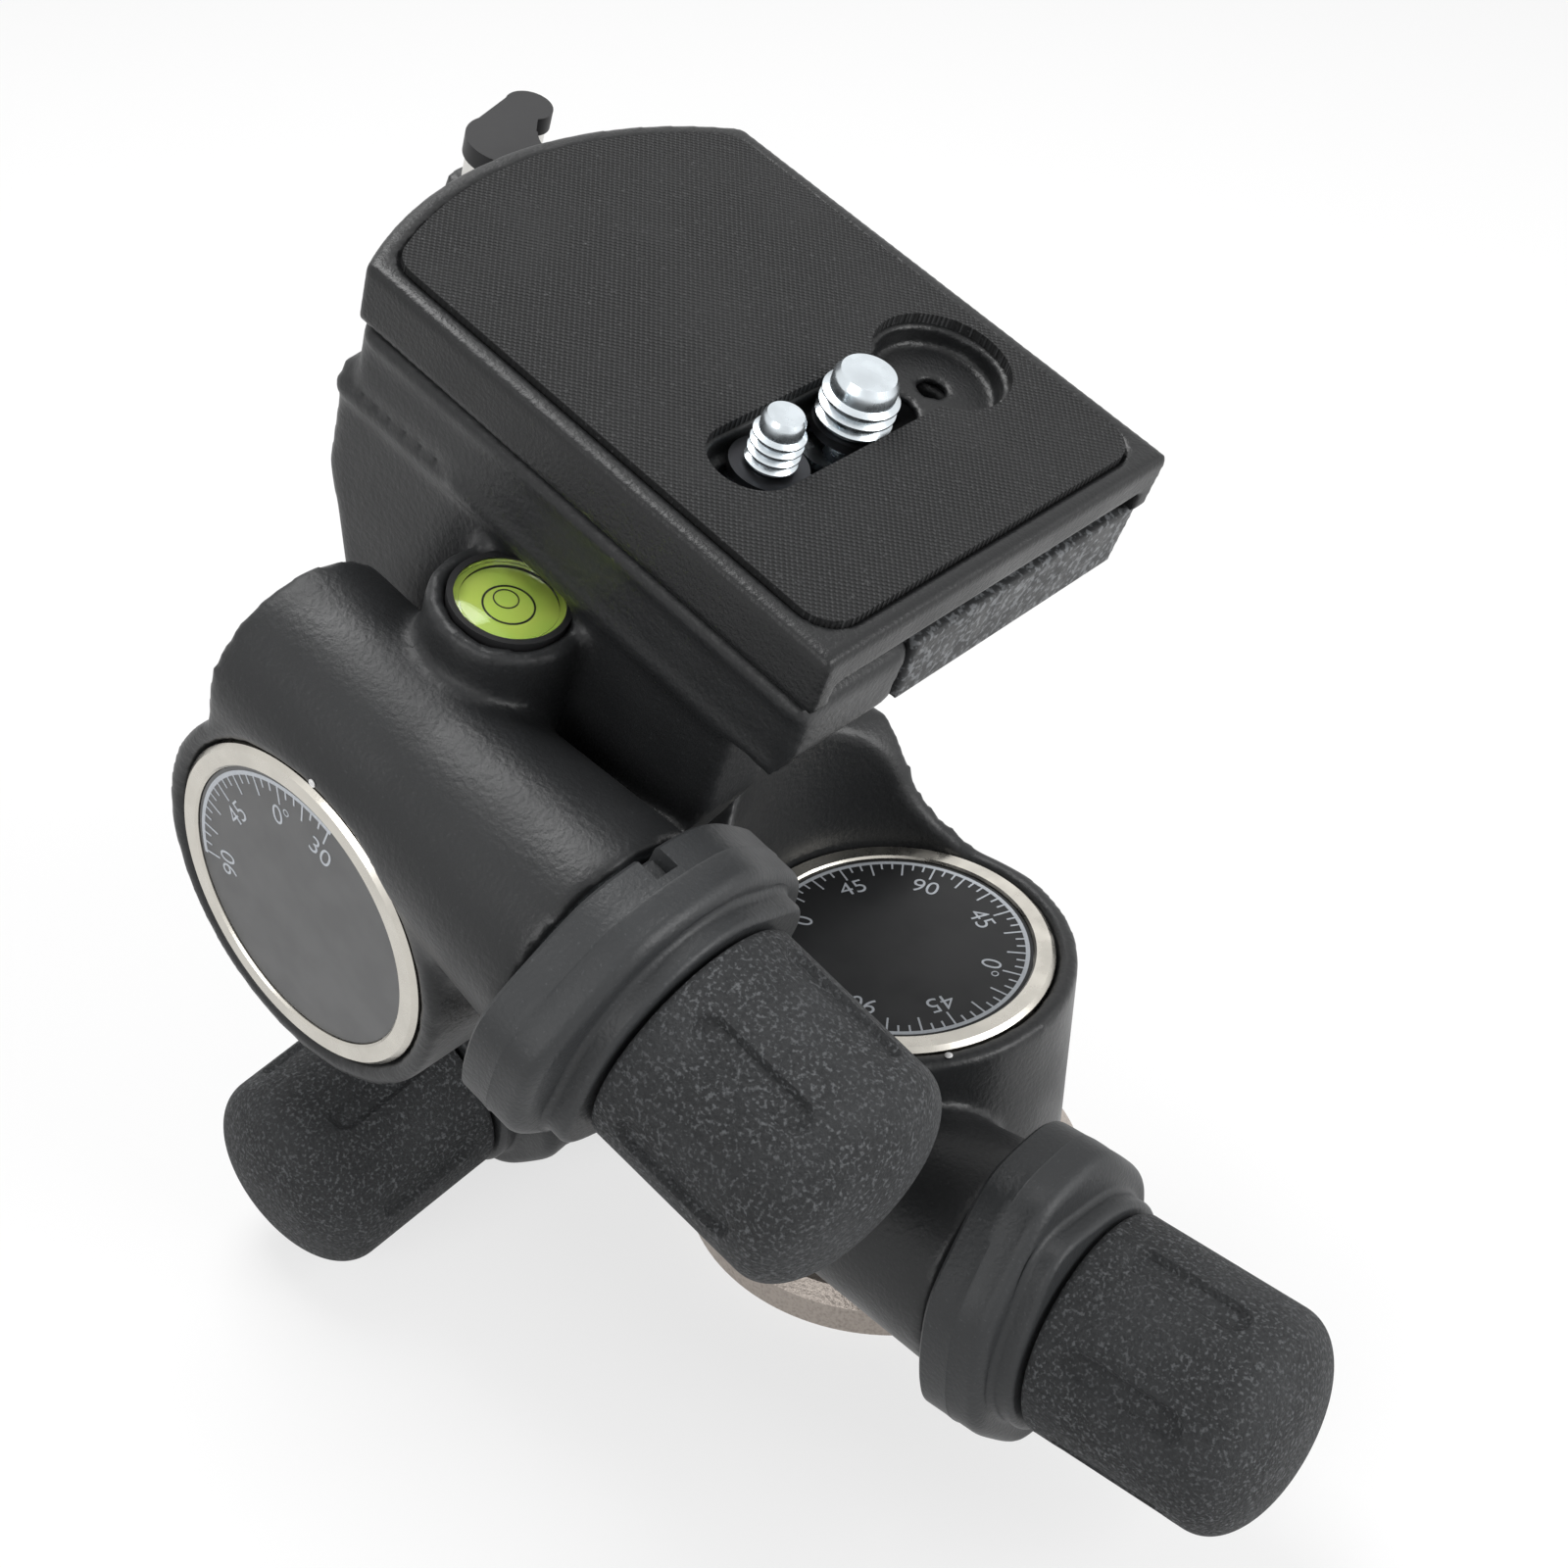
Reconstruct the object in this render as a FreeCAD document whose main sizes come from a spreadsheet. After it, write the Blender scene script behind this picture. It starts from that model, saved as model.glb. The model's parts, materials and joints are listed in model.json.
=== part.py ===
import FreeCAD, Part
import math
import os
import Sketcher

# Geared tripod head, millimetres, Z up along the pan axis, origin at the middle of the base's underside.
# Three worm drives of one pattern are stacked: pan, lower tilt and upper tilt. Each drive has a wheel fixed to
# the part below it, and a housing that turns round that wheel and carries the worm, its knob and its release ring.

os.makedirs("parts", exist_ok=True)
doc = FreeCAD.newDocument("geared_head")
sheet = doc.addObject("Spreadsheet::Sheet", "dims")

DIMENSIONS = [
    ("base_radius", 30.0), ("base_thick", 7.4), ("base_chamfer", 0.8), ("turn_gap", 0.3),
    ("mount_radius", 4.7625), ("mount_depth", 12.0),
    ("house_radius", 25.5), ("house_length", 40.0), ("shaft_radius", 8.0), ("run_gap", 0.05),
    ("bush_wall", 3.0), ("bush_length", 12.0), ("cavity_radius", 20.6), ("floor_thick", 14.0),
    ("ring_outer", 22.4), ("ring_inner", 19.4), ("ring_thick", 2.6), ("ring_bevel", 0.6), ("edge_break", 0.3), ("rim_rise", 0.4), ("label_thick", 0.8),
    ("label_drop", 0.5), ("nut_radius", 12.0), ("nut_thick", 4.0),
    ("nut_low", 7.4), ("neck_radius", 4.8), ("shaft_inset", 3.4), ("base_bevel", 2.0),
    ("worm_offset", 22.0), ("wheel_tip", 16.6), ("wheel_thick", 9.0), ("tooth_depth", 1.1), ("tooth_count", 48.0),
    ("worm_radius", 5.1), ("worm_length", 18.0), ("worm_pitch", 2.2), ("thread_depth", 0.9),
    ("spindle_radius", 3.5), ("spindle_tail", 17.0), ("tail_gap", 1.0), ("worm_room", 0.7),
    ("boss_root", 13.6), ("boss_end", 15.9), ("boss_reach", 35.5), ("sleeve_radius", 11.0), ("sleeve_start", 13.5),
    ("release_start", 37.0), ("release_thick", 9.3), ("release_round", 18.6), ("wing_reach", 22.6), ("wing_half", 6.8),
    ("wing_shoulder", 13.4), ("wing_flank", 14.5), ("wing_round", 2.4), ("notch_width", 3.0), ("notch_depth", 3.4),
    ("release_bore", 15.3), ("release_bore_depth", 5.4), ("flange_thick", 3.2), ("flange_radius", 16.2),
    ("lobe_reach", 18.6), ("lobe_radius", 5.0), ("lobe_shift", 6.0), ("release_room", 1.0),
    ("knob_start", 50.0), ("knob_radius", 15.4), ("knob_length", 24.0), ("knob_dome", 6.0), ("knob_taper", 0.35),
    ("core_radius", 12.0), ("core_length", 22.0), ("core_floor", 6.9), ("groove_radius", 2.1), ("groove_depth", 0.95),
    ("groove_length", 15.5), ("groove_start", 4.5), ("groove_count", 6.0),
    ("coil_radius", 13.4), ("coil_wire", 0.5), ("coil_pitch", 1.55), ("coil_turns", 3.0), ("coil_seat", 0.15),
    ("pan_worm_rise", 19.4), ("lower_worm_rise", 20.0), ("upper_worm_rise", 26.6),
    ("pan_worm_drop", "=house_length - pan_worm_rise"), ("lower_worm_drop", "=house_length - lower_worm_rise"),
    ("upper_worm_drop", "=house_length - upper_worm_rise"),
    ("wall_thick", 7.5), ("wall_gap", 0.8), ("wall_radius", 25.0), ("wall_side_gap", 0.8),
    ("lower_axis_y", 4.5), ("lower_axis_z", 46.0), ("lower_droop", 5.5),
    ("foot_inset", 1.0), ("foot_left", -6.0), ("foot_turn", 12.0), ("foot_drop", 14.0), ("foot_rise", 10.0),
    ("bridge_depth", 23.0), ("bridge_back", 3.0), ("bridge_inset", 4.0), ("curve_start", 4.0), ("curve_end", 24.0),
    ("curve_bow", 1.8), ("upper_axis_x", -41.3), ("upper_axis_z", 72.6), ("upper_rest_tilt", 19.7),
    ("screw_head_radius", 6.5), ("screw_head_thick", 3.0), ("screw_shank", 3.0), ("screw_reach", 14.0),
    ("plate_length", 83.9), ("plate_width", 64.3), ("plate_end_radius", 58.7), ("plate_centre_y", -8.7),
    ("plate_top", 66.5), ("plate_thick", 5.0), ("skirt_drop", 8.2), ("skirt_wall", 3.0), ("plate_edge_round", 1.0),
    ("pad_inset", 3.0), ("pad_thick", 1.4), ("pad_proud", 0.5), ("pad_corner", 5.0),
    ("slot_x", 15.2), ("slot_width", 10.0), ("slot_low", -29.7), ("slot_high", 9.8), ("slot_step", 6.9),
    ("recess_radius", 8.2), ("recess_depth", 3.4), ("peg_hole_radius", 1.9),
    ("platform_thick", 9.4), ("platform_gap", 0.35), ("platform_inset", 0.6), ("rail_height", 3.4),
    ("rail_inset", 3.6), ("bead_radius", 1.1),
    ("neck_front", -39.4), ("neck_low", -36.0), ("neck_high", 33.0), ("neck_base_half", 23.0),
    ("spine_low", -16.0), ("spine_high", 16.0), ("spine_drop", 6.0), ("sweep_radius", 27.0),
    ("vial_x", 1.3), ("vial_y", -43.4), ("vial_top", 42.2), ("vial_radius", 6.7), ("vial_depth", 6.0),
    ("vial_wall", 0.8), ("vial_boss_radius", 9.8), ("vial_boss_base", 14.0), ("vial_dome", 0.8),
    ("jaw_split", -13.0), ("jaw_depth", 9.0), ("jaw_gap", 0.25),
    ("lever_out", 5.85), ("lever_x", "=-plate_length / 2 - lever_out"), ("lever_y", -4.5), ("lever_hub", 5.2), ("lever_base", 47.6), ("lever_body_top", 60.0),
    ("lever_cap_thick", 2.6), ("lever_reach", 13.0), ("lever_half", 4.6), ("lever_pin_radius", 2.2),
    ("lever_gap", 0.05), ("bite_radius", 6.0),
    ("big_screw_radius", 4.7625), ("small_screw_radius", 3.175), ("big_screw_y", -6.5), ("small_screw_y", -21.1),
    ("camera_screw_proud", 5.2), ("camera_screw_head", 2.2), ("washer_gap", 0.06), ("washer_thick", 1.2),
    ("camera_shank", 2.3), ("washer_side", 0.16), ("washer_seat", 0.05),
    ("lug_radius", 6.6), ("lug_base", 40.0), ("lug_drop", 3.0), ("lug_bridge", 7.0),
]
for row, (alias, value) in enumerate(DIMENSIONS, start=1):
    sheet.set("A%d" % row, alias)
    sheet.set("B%d" % row, str(value))
    sheet.setAlias("B%d" % row, alias)
probe = doc.addObject("Spreadsheet::Sheet", "probe")
doc.recompute()


class Sizes:
    """Reads a named size from the sheet."""

    def __getattr__(self, alias):
        return float(sheet.get(alias))


size = Sizes()
V = FreeCAD.Vector
nodes = []


def name_tied(expression):
    """Puts the sheet's name before each alias in an expression."""
    out = expression
    for alias in sorted((a for a, _ in DIMENSIONS), key=len, reverse=True):
        out = replace_word(out, alias, "dims." + alias)
    return out


def replace_word(text, word, new):
    """Replaces a whole word that isn't already tied to the sheet."""
    out = ""
    place = 0
    while True:
        at = text.find(word, place)
        if at < 0:
            return out + text[place:]
        end = at + len(word)
        before = text[at - 1] if at else " "
        after = text[end] if end < len(text) else " "
        free = not (before.isalnum() or before in "_.") and not (after.isalnum() or after == "_")
        out += text[place:at] + (new if free else word)
        place = end


def bind(item, prop, expression):
    """Ties one property to an expression on the sheet."""
    item.setExpression(prop, name_tied(str(expression)))


def turned(axis):
    """Rotation that takes a primitive's own Z to the named axis."""
    turns = {"z": (V(0, 0, 1), 0), "x": (V(0, 1, 0), 90), "y": (V(1, 0, 0), -90),
             "-x": (V(0, 1, 0), -90), "-y": (V(1, 0, 0), 90), "-z": (V(1, 0, 0), 180)}
    direction, angle = turns[axis]
    return FreeCAD.Rotation(direction, angle)


def seat(item, at, axis="z"):
    """Puts a primitive at a place given by three expressions, along a named axis."""
    item.Placement = FreeCAD.Placement(V(0, 0, 0), turned(axis))
    for letter, expression in zip("xyz", at):
        bind(item, "Placement.Base." + letter, expression)
    return item


def cylinder(radius, height, at=(0, 0, 0), axis="z"):
    item = doc.addObject("Part::Cylinder", "cylinder")
    bind(item, "Radius", radius)
    bind(item, "Height", height)
    return seat(item, at, axis)


def cone(radius_low, radius_high, height, at=(0, 0, 0), axis="z"):
    item = doc.addObject("Part::Cone", "cone")
    bind(item, "Radius1", radius_low)
    bind(item, "Radius2", radius_high)
    bind(item, "Height", height)
    return seat(item, at, axis)


def box(length, width, height, at=(0, 0, 0)):
    item = doc.addObject("Part::Box", "box")
    bind(item, "Length", length)
    bind(item, "Width", width)
    bind(item, "Height", height)
    return seat(item, at)


def fuse(*items):
    if len(items) == 1:
        return items[0]
    item = doc.addObject("Part::MultiFuse", "joined")
    item.Shapes = list(items)
    return item


def cut(solid, *tools):
    item = doc.addObject("Part::Cut", "cut")
    item.Base = solid
    item.Tool = fuse(*tools)
    return item


def keep(item, label, place=None):
    """Makes an object a named node and puts it at its module's place."""
    if place is not None and item.ExpressionEngine:
        inner = item
        item = doc.addObject("Part::Compound", "placed")
        item.Links = [inner]
    if place is not None:
        item.Placement = place.multiply(item.Placement)
    item.Label = label
    nodes.append(item)
    return item


def feature(shape, label, place=None):
    """A solid worked out from the sheet by Part's own functions."""
    item = doc.addObject("Part::Feature", label)
    item.Shape = shape
    item.Placement = place if place is not None else FreeCAD.Placement()
    item.Label = label
    nodes.append(item)
    return item


def origin_plane(body, role):
    return [plane for plane in body.Origin.OriginFeatures if plane.Role == role][0]


def outline_sketch(body, role, points):
    """Closed polygon whose corners are each tied to the sheet by two distances."""
    sketch = body.newObject("Sketcher::SketchObject", "outline")
    sketch.AttachmentSupport = [(origin_plane(body, role), "")]
    sketch.MapMode = "FlatFace"
    corners = [V(float(sheet_value(x)), float(sheet_value(y)), 0) for x, y in points]
    for index, corner in enumerate(corners):
        sketch.addGeometry(Part.LineSegment(corner, corners[(index + 1) % len(corners)]), False)
    for index in range(len(corners)):
        sketch.addConstraint(Sketcher.Constraint("Coincident", index, 2, (index + 1) % len(corners), 1))
    for index, (x, y) in enumerate(points):
        for kind, expression, value in (("DistanceX", x, corners[index].x), ("DistanceY", y, corners[index].y)):
            number = sketch.addConstraint(Sketcher.Constraint(kind, -1, 1, index, 1, value))
            bind(sketch, "Constraints[%d]" % number, expression)
    return sketch


def sheet_value(expression):
    """Works out an expression of sizes as a number."""
    probe.set("A1", "=" + name_tied(str(expression)))
    probe.recompute()
    return float(probe.get("A1"))


def revolved(label, points, place=None, role="XZ_Plane"):
    """Body of revolution about its own Z from a half outline."""
    body = doc.addObject("PartDesign::Body", label)
    sketch = outline_sketch(body, role, points)
    turn = body.newObject("PartDesign::Revolution", "turn")
    turn.Profile = sketch
    turn.ReferenceAxis = (sketch, ["V_Axis"])
    turn.Angle = 360.0
    body.Tip = turn
    return keep(body, label, place)


# Places of the modules. In each drive's own frame Z runs along the wheel axis to the dial, whose face is at
# zero, and X runs along the worm towards the knob.
dial_height = size.base_thick + size.turn_gap + size.house_length
pan_place = FreeCAD.Placement(V(0, 0, dial_height), FreeCAD.Rotation())
lower_wall_face = -size.house_radius - size.wall_side_gap + size.wall_gap
lower_back = lower_wall_face - size.wall_thick - size.turn_gap
lower_dial_x = lower_back - size.house_length
droop = math.radians(size.lower_droop)
lower_x = V(0, -math.cos(droop), -math.sin(droop))
lower_z = V(-1, 0, 0)
lower_place = FreeCAD.Placement(V(lower_dial_x, size.lower_axis_y, size.lower_axis_z),
                                FreeCAD.Rotation(lower_x, lower_z.cross(lower_x), lower_z, "ZXY"))
upper_wall_face = size.lower_axis_y - size.house_radius - size.wall_side_gap + size.wall_gap
upper_back = upper_wall_face - size.wall_thick - size.turn_gap
upper_dial_y = upper_back - size.house_length
tilt = FreeCAD.Rotation(V(0, 1, 0), size.upper_rest_tilt)
top_place = FreeCAD.Placement(V(size.upper_axis_x, 0, size.upper_axis_z), tilt)
upper_local = FreeCAD.Placement(V(0, upper_dial_y, 0), FreeCAD.Rotation(V(1, 0, 0), 90))
upper_place = top_place.multiply(upper_local)
upper_fixed_place = FreeCAD.Placement(V(size.upper_axis_x, upper_dial_y, size.upper_axis_z),
                                      FreeCAD.Rotation(V(1, 0, 0), 90))


def worm_place(place, drop, side):
    """Place of the worm: its own Z runs towards the knob, from the point nearest the wheel's axis."""
    local = FreeCAD.Placement(V(0, side * size.worm_offset, -drop), FreeCAD.Rotation(V(0, 1, 0), 90))
    return place.multiply(local)


def housing_parts(drop, side):
    """Drum and tapered worm boss of a drive, and the hollows that hold its wheel, dial and worm."""
    y = "%d * worm_offset" % side
    boss_at = ("house_radius * 0.3", y, "-" + drop)
    solid = [cylinder("house_radius", "house_length", (0, 0, "-house_length")),
             cone("boss_root", "boss_end", "boss_reach - house_radius * 0.3", boss_at, "x"),
             cylinder("boss_root", "spindle_tail + house_radius * 0.3 + 3", ("-spindle_tail - 3", y, "-" + drop), "x")]
    hollow = [cylinder("ring_outer + turn_gap", "ring_thick + rim_rise + 1", (0, 0, "-ring_thick - rim_rise")),
              cylinder("cavity_radius", "house_length - floor_thick - ring_thick - rim_rise + 0.1",
                       (0, 0, "-house_length + floor_thick")),
              cylinder("shaft_radius + bush_wall", "floor_thick + 2", (0, 0, "-house_length - 1")),
              cylinder("worm_radius + worm_room", "spindle_tail + sleeve_start + 0.5",
                       ("-spindle_tail", y, "-" + drop), "x"),
              cylinder("sleeve_radius + run_gap", "boss_reach", ("sleeve_start", y, "-" + drop), "x")]
    return solid, hollow


def tilt_shaft(prefix, place):
    """Shaft that is drawn into the arm of the part below, with a thin end for the lock nut."""
    reach = "turn_gap + wall_thick - shaft_inset"
    keep(fuse(cylinder("shaft_radius", "house_length + %s - nut_low" % reach, (0, 0, "-house_length - (%s)" % reach)),
              cylinder("neck_radius", "nut_thick + 0.5", (0, 0, "-nut_low"))), prefix + "_shaft", place)


def dial_set(prefix, place, drop):
    """Wheel, nut, dial ring and label that stay with the part below."""
    teeth = int(size.tooth_count)
    rim = []
    for tooth in range(teeth):
        for radius, share in ((size.wheel_tip - size.tooth_depth, 0.0), (size.wheel_tip - size.tooth_depth, 0.4),
                              (size.wheel_tip, 0.55), (size.wheel_tip, 0.85)):
            angle = 2 * math.pi * (tooth + share) / teeth
            rim.append(V(radius * math.cos(angle), radius * math.sin(angle), 0))
    rim.append(rim[0])
    disc = Part.Face(Part.makePolygon(rim)).extrude(V(0, 0, size.wheel_thick))
    wheel = disc.cut(Part.makeCylinder(size.shaft_radius, size.wheel_thick))
    lift = FreeCAD.Placement(V(0, 0, -drop - size.wheel_thick / 2), FreeCAD.Rotation())
    feature(wheel, prefix + "_worm_wheel", place.multiply(lift))
    keep(cut(cylinder("nut_radius", "nut_thick - 0.2", (0, 0, "-nut_low")),
             cylinder("neck_radius", "nut_thick + 2", (0, 0, "-nut_low - 1"))), prefix + "_lock_nut", place)
    revolved(prefix + "_dial_ring", [
        (0, "-ring_thick"), (0, "-label_drop - label_thick"), ("ring_inner", "-label_drop - label_thick"),
        ("ring_inner", "-edge_break"), ("ring_inner + edge_break", 0), ("ring_outer - ring_bevel", 0),
        ("ring_outer", "-ring_bevel"), ("ring_outer", "-ring_thick")], place)
    keep(cylinder("ring_inner - 0.1", "label_thick", (0, 0, "-label_drop - label_thick")), prefix + "_dial_label", place)


def half_biarc(start, corner, end):
    """Arc that leaves start towards a corner point and arrives at end from it, both at one distance."""
    reach = (start - corner).Length
    across = (start + end) * 0.5 - corner
    share = across.Length / reach
    dip = reach * (1 - math.sqrt(1 - share * share)) / share
    return Part.Arc(start, corner + across.normalize() * dip, end).toShape()


def helix_wire(radius, pitch, turns, start):
    """Helix as biarcs of a quarter turn, with the helix's own points for measuring."""
    def point(angle):
        return V(radius * math.cos(angle), radius * math.sin(angle), start + pitch * angle / (2 * math.pi))

    def tangent(angle):
        return V(-radius * math.sin(angle), radius * math.cos(angle), pitch / (2 * math.pi)).normalize()
    quarter = math.pi / 2
    edges = []
    for index in range(int(round(turns * 4))):
        low = point(index * quarter)
        high = point((index + 1) * quarter)
        out = tangent(index * quarter)
        into = tangent((index + 1) * quarter)
        chord = high - low
        along = chord.dot(out + into)
        bend = 2 * (1 - out.dot(into))
        reach = (math.sqrt(along * along + bend * chord.dot(chord)) - along) / bend
        first = low + out * reach
        second = high - into * reach
        middle = (first + second) * 0.5
        edges += [half_biarc(low, first, middle), half_biarc(middle, second, high)]
    return Part.Wire(edges), point, tangent(0)


def least_gap(point, turns, wire):
    """Least clear distance between turns of a coil, measured on points at least half a turn apart."""
    steps = 48
    places = [point(2 * math.pi * step / steps) for step in range(int(steps * turns) + 1)]
    gaps = [(places[high] - places[low]).Length for low in range(len(places))
            for high in range(low + steps // 2, len(places))]
    return min(gaps) - 2 * wire


def dome_arc(reach, low, rise):
    """Arc from a rim up to the axis, about a centre on the axis."""
    radius = (reach * reach + rise * rise) / (2 * rise)
    half = math.asin(reach / radius) / 2
    middle = V(radius * math.sin(half), 0, low + rise - radius + radius * math.cos(half))
    return Part.Arc(V(reach, 0, low), middle, V(0, 0, low + rise)).toShape()


def capsule(radius, length):
    """Round-ended rod along Z, turned from one outline."""
    top = V(0, 0, length + radius)
    bend = radius * math.sqrt(0.5)
    edges = [Part.Arc(V(0, 0, -radius), V(bend, 0, -bend), V(radius, 0, 0)).toShape(),
             Part.LineSegment(V(radius, 0, 0), V(radius, 0, length)).toShape(),
             Part.Arc(V(radius, 0, length), V(bend, 0, length + bend), top).toShape(),
             Part.LineSegment(top, V(0, 0, -radius)).toShape()]
    return Part.Face(Part.Wire(edges)).revolve(V(0, 0, 0), V(0, 0, 1), 360)


def drive_set(prefix, place, drop, side):
    """Worm spindle, its sleeve, release ring, coil spring, knob core, grip and screw."""
    own = worm_place(place, drop, side)
    core = size.worm_radius - size.thread_depth
    socket = size.knob_start + size.core_length - size.core_floor
    tail = size.spindle_tail - size.tail_gap
    spindle = Part.makeCylinder(size.spindle_radius, socket + tail, V(0, 0, -tail))
    spindle = spindle.fuse(Part.makeCylinder(core, size.worm_length, V(0, 0, -size.worm_length / 2)))
    steps = int(size.worm_length / size.worm_pitch)
    for step in range(steps):
        low = -size.worm_length / 2 + (step + 0.25) * size.worm_pitch
        half = size.worm_pitch * 0.3
        spindle = spindle.fuse(Part.makeCone(core, size.worm_radius, half, V(0, 0, low - half)))
        spindle = spindle.fuse(Part.makeCone(size.worm_radius, core, half, V(0, 0, low)))
    feature(spindle.removeSplitter(), prefix + "_worm", own)
    revolved(prefix + "_worm_sleeve", [
        ("spindle_radius + run_gap", "sleeve_start + 0.3"), ("sleeve_radius", "sleeve_start + 0.3"),
        ("sleeve_radius", "release_start + release_bore_depth"),
        ("spindle_radius + run_gap", "release_start + release_bore_depth")], own)
    low = size.release_start
    ring = Part.makeCylinder(size.release_round, size.release_thick, V(0, 0, low))
    tip = size.wing_half
    shoulder = size.wing_shoulder
    flank = size.wing_flank
    outline = [V(-size.wing_reach, -tip, low), V(-size.wing_reach, tip, low), V(-shoulder, flank, low),
               V(shoulder, flank, low), V(size.wing_reach, tip, low), V(size.wing_reach, -tip, low),
               V(shoulder, -flank, low), V(-shoulder, -flank, low)]
    outline.append(outline[0])
    wings = Part.Face(Part.makePolygon(outline)).extrude(V(0, 0, size.release_thick))
    corners = [edge for edge in wings.Edges if abs(edge.tangentAt(edge.FirstParameter).z) > 0.99
               and math.hypot(edge.Vertexes[0].X, edge.Vertexes[0].Y) > size.wing_reach]
    ring = ring.fuse(wings.makeFillet(size.wing_round, corners))
    high = low + size.release_thick
    ring = ring.fuse(Part.makeCylinder(size.flange_radius, size.flange_thick, V(0, 0, high)))
    for sign in (-1, 1):
        lobe = Part.makeCylinder(size.lobe_radius, size.flange_thick,
                                 V(sign * (size.lobe_reach - size.lobe_radius), sign * size.lobe_shift, high))
        ring = ring.fuse(lobe)
    ring = ring.cut(Part.makeCylinder(size.release_bore, size.release_bore_depth, V(0, 0, low)))
    ring = ring.cut(Part.makeCylinder(size.spindle_radius + size.release_room, 60, V(0, 0, low)))
    notch = size.notch_width
    ring = ring.cut(Part.makeBox(notch, notch, size.notch_depth, V(-notch / 2, size.release_round - notch / 2, low)))
    feature(ring.removeSplitter(), prefix + "_release_ring", own)
    path, point, heading = helix_wire(size.coil_radius, size.coil_pitch, size.coil_turns,
                                      size.boss_reach + size.coil_wire + size.coil_seat)
    circle = Part.Wire(Part.Circle(point(0), heading, size.coil_wire).toShape())
    feature(path.makePipeShell([circle], True, False), prefix + "_release_spring", own)
    print("%s least gap of the coil to itself: %.2f mm" % (
        prefix, least_gap(point, size.coil_turns, size.coil_wire)))
    revolved(prefix + "_knob_core", [
        ("spindle_radius", "knob_start + 0.4"), ("core_radius", "knob_start + 0.4"),
        ("core_radius", "knob_start + core_length"), (0, "knob_start + core_length"),
        (0, "knob_start + core_length - core_floor"),
        ("spindle_radius", "knob_start + core_length - core_floor")], own)
    top = size.knob_start + size.knob_length
    radius = size.knob_radius
    dome = size.knob_dome
    end = radius - size.knob_taper
    profile = Part.Wire([
        Part.LineSegment(V(size.core_radius, 0, size.knob_start), V(radius - 0.8, 0, size.knob_start)).toShape(),
        Part.LineSegment(V(radius - 0.8, 0, size.knob_start), V(radius, 0, size.knob_start + 0.8)).toShape(),
        Part.LineSegment(V(radius, 0, size.knob_start + 0.8), V(end, 0, top - 2.2)).toShape(),
        Part.Arc(V(end, 0, top - 2.2), V(end - 0.9, 0, top - 0.2), V(end - 2.6, 0, top + 1.1)).toShape(),
        dome_arc(end - 2.6, top + 1.1, dome - 1.1),
        Part.LineSegment(V(0, 0, top + dome), V(0, 0, size.knob_start + size.core_length)).toShape(),
        Part.LineSegment(V(0, 0, size.knob_start + size.core_length),
                         V(size.core_radius, 0, size.knob_start + size.core_length)).toShape(),
        Part.LineSegment(V(size.core_radius, 0, size.knob_start + size.core_length),
                         V(size.core_radius, 0, size.knob_start)).toShape()])
    grip = Part.Face(profile).revolve(V(0, 0, 0), V(0, 0, 1), 360)
    count = int(size.groove_count)
    out = radius + size.groove_radius - size.groove_depth
    for number in range(count):
        angle = 2 * math.pi * number / count
        x = out * math.cos(angle)
        y = out * math.sin(angle)
        low = size.knob_start + size.groove_start
        groove = capsule(size.groove_radius, size.groove_length)
        groove.translate(V(x, y, low))
        grip = grip.cut(groove)
    feature(grip, prefix + "_knob_grip", own)


def bush(prefix, place):
    """Bronze bush pressed in the housing's floor, with a running fit on the shaft."""
    revolved(prefix + "_bush", [
        ("shaft_radius + run_gap", "-house_length + 0.4"), ("shaft_radius + bush_wall", "-house_length + 0.4"),
        ("shaft_radius + bush_wall", "-house_length + bush_length"),
        ("shaft_radius + run_gap", "-house_length + bush_length")], place)


def arm_shape(centre, foot_left, foot_right, foot_low, turn):
    """Arm in its own plane: a round end about the next axis, whose sides lean in to an upright foot."""
    radius = size.wall_radius
    right = V(centre.x + radius, centre.y, 0)
    left = V(centre.x - radius, centre.y, 0)
    corners = [left, V(foot_left, turn, 0), V(foot_left, foot_low, 0), V(foot_right, foot_low, 0),
               V(foot_right, turn, 0), right]
    edges = [Part.Arc(right, V(centre.x, centre.y + radius, 0), left).toShape()]
    for start, end in zip(corners, corners[1:]):
        edges.append(Part.LineSegment(start, end).toShape())
    return Part.Face(Part.Wire(edges)).extrude(V(0, 0, size.wall_thick))


def arm_feature(shape, place):
    item = doc.addObject("Part::Feature", "arm")
    item.Shape = shape
    item.Placement = place
    return item


# Base disc with the column that the pan drive turns on.
revolved("base_disc", [
    ("shaft_radius", 0), ("base_radius - base_chamfer", 0), ("base_radius", "base_chamfer"),
    ("base_radius", "base_thick - base_bevel"), ("base_radius - base_bevel", "base_thick"),
    ("shaft_radius", "base_thick")])
column_top = "base_thick + turn_gap + house_length - nut_low"
column = fuse(cylinder("shaft_radius", column_top), cylinder("neck_radius", "nut_thick + 0.5", (0, 0, column_top)))
keep(cut(column, cylinder("mount_radius", "mount_depth + 1", (0, 0, -1))), "pan_column")
dial_set("pan", pan_place, size.pan_worm_drop)

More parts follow.
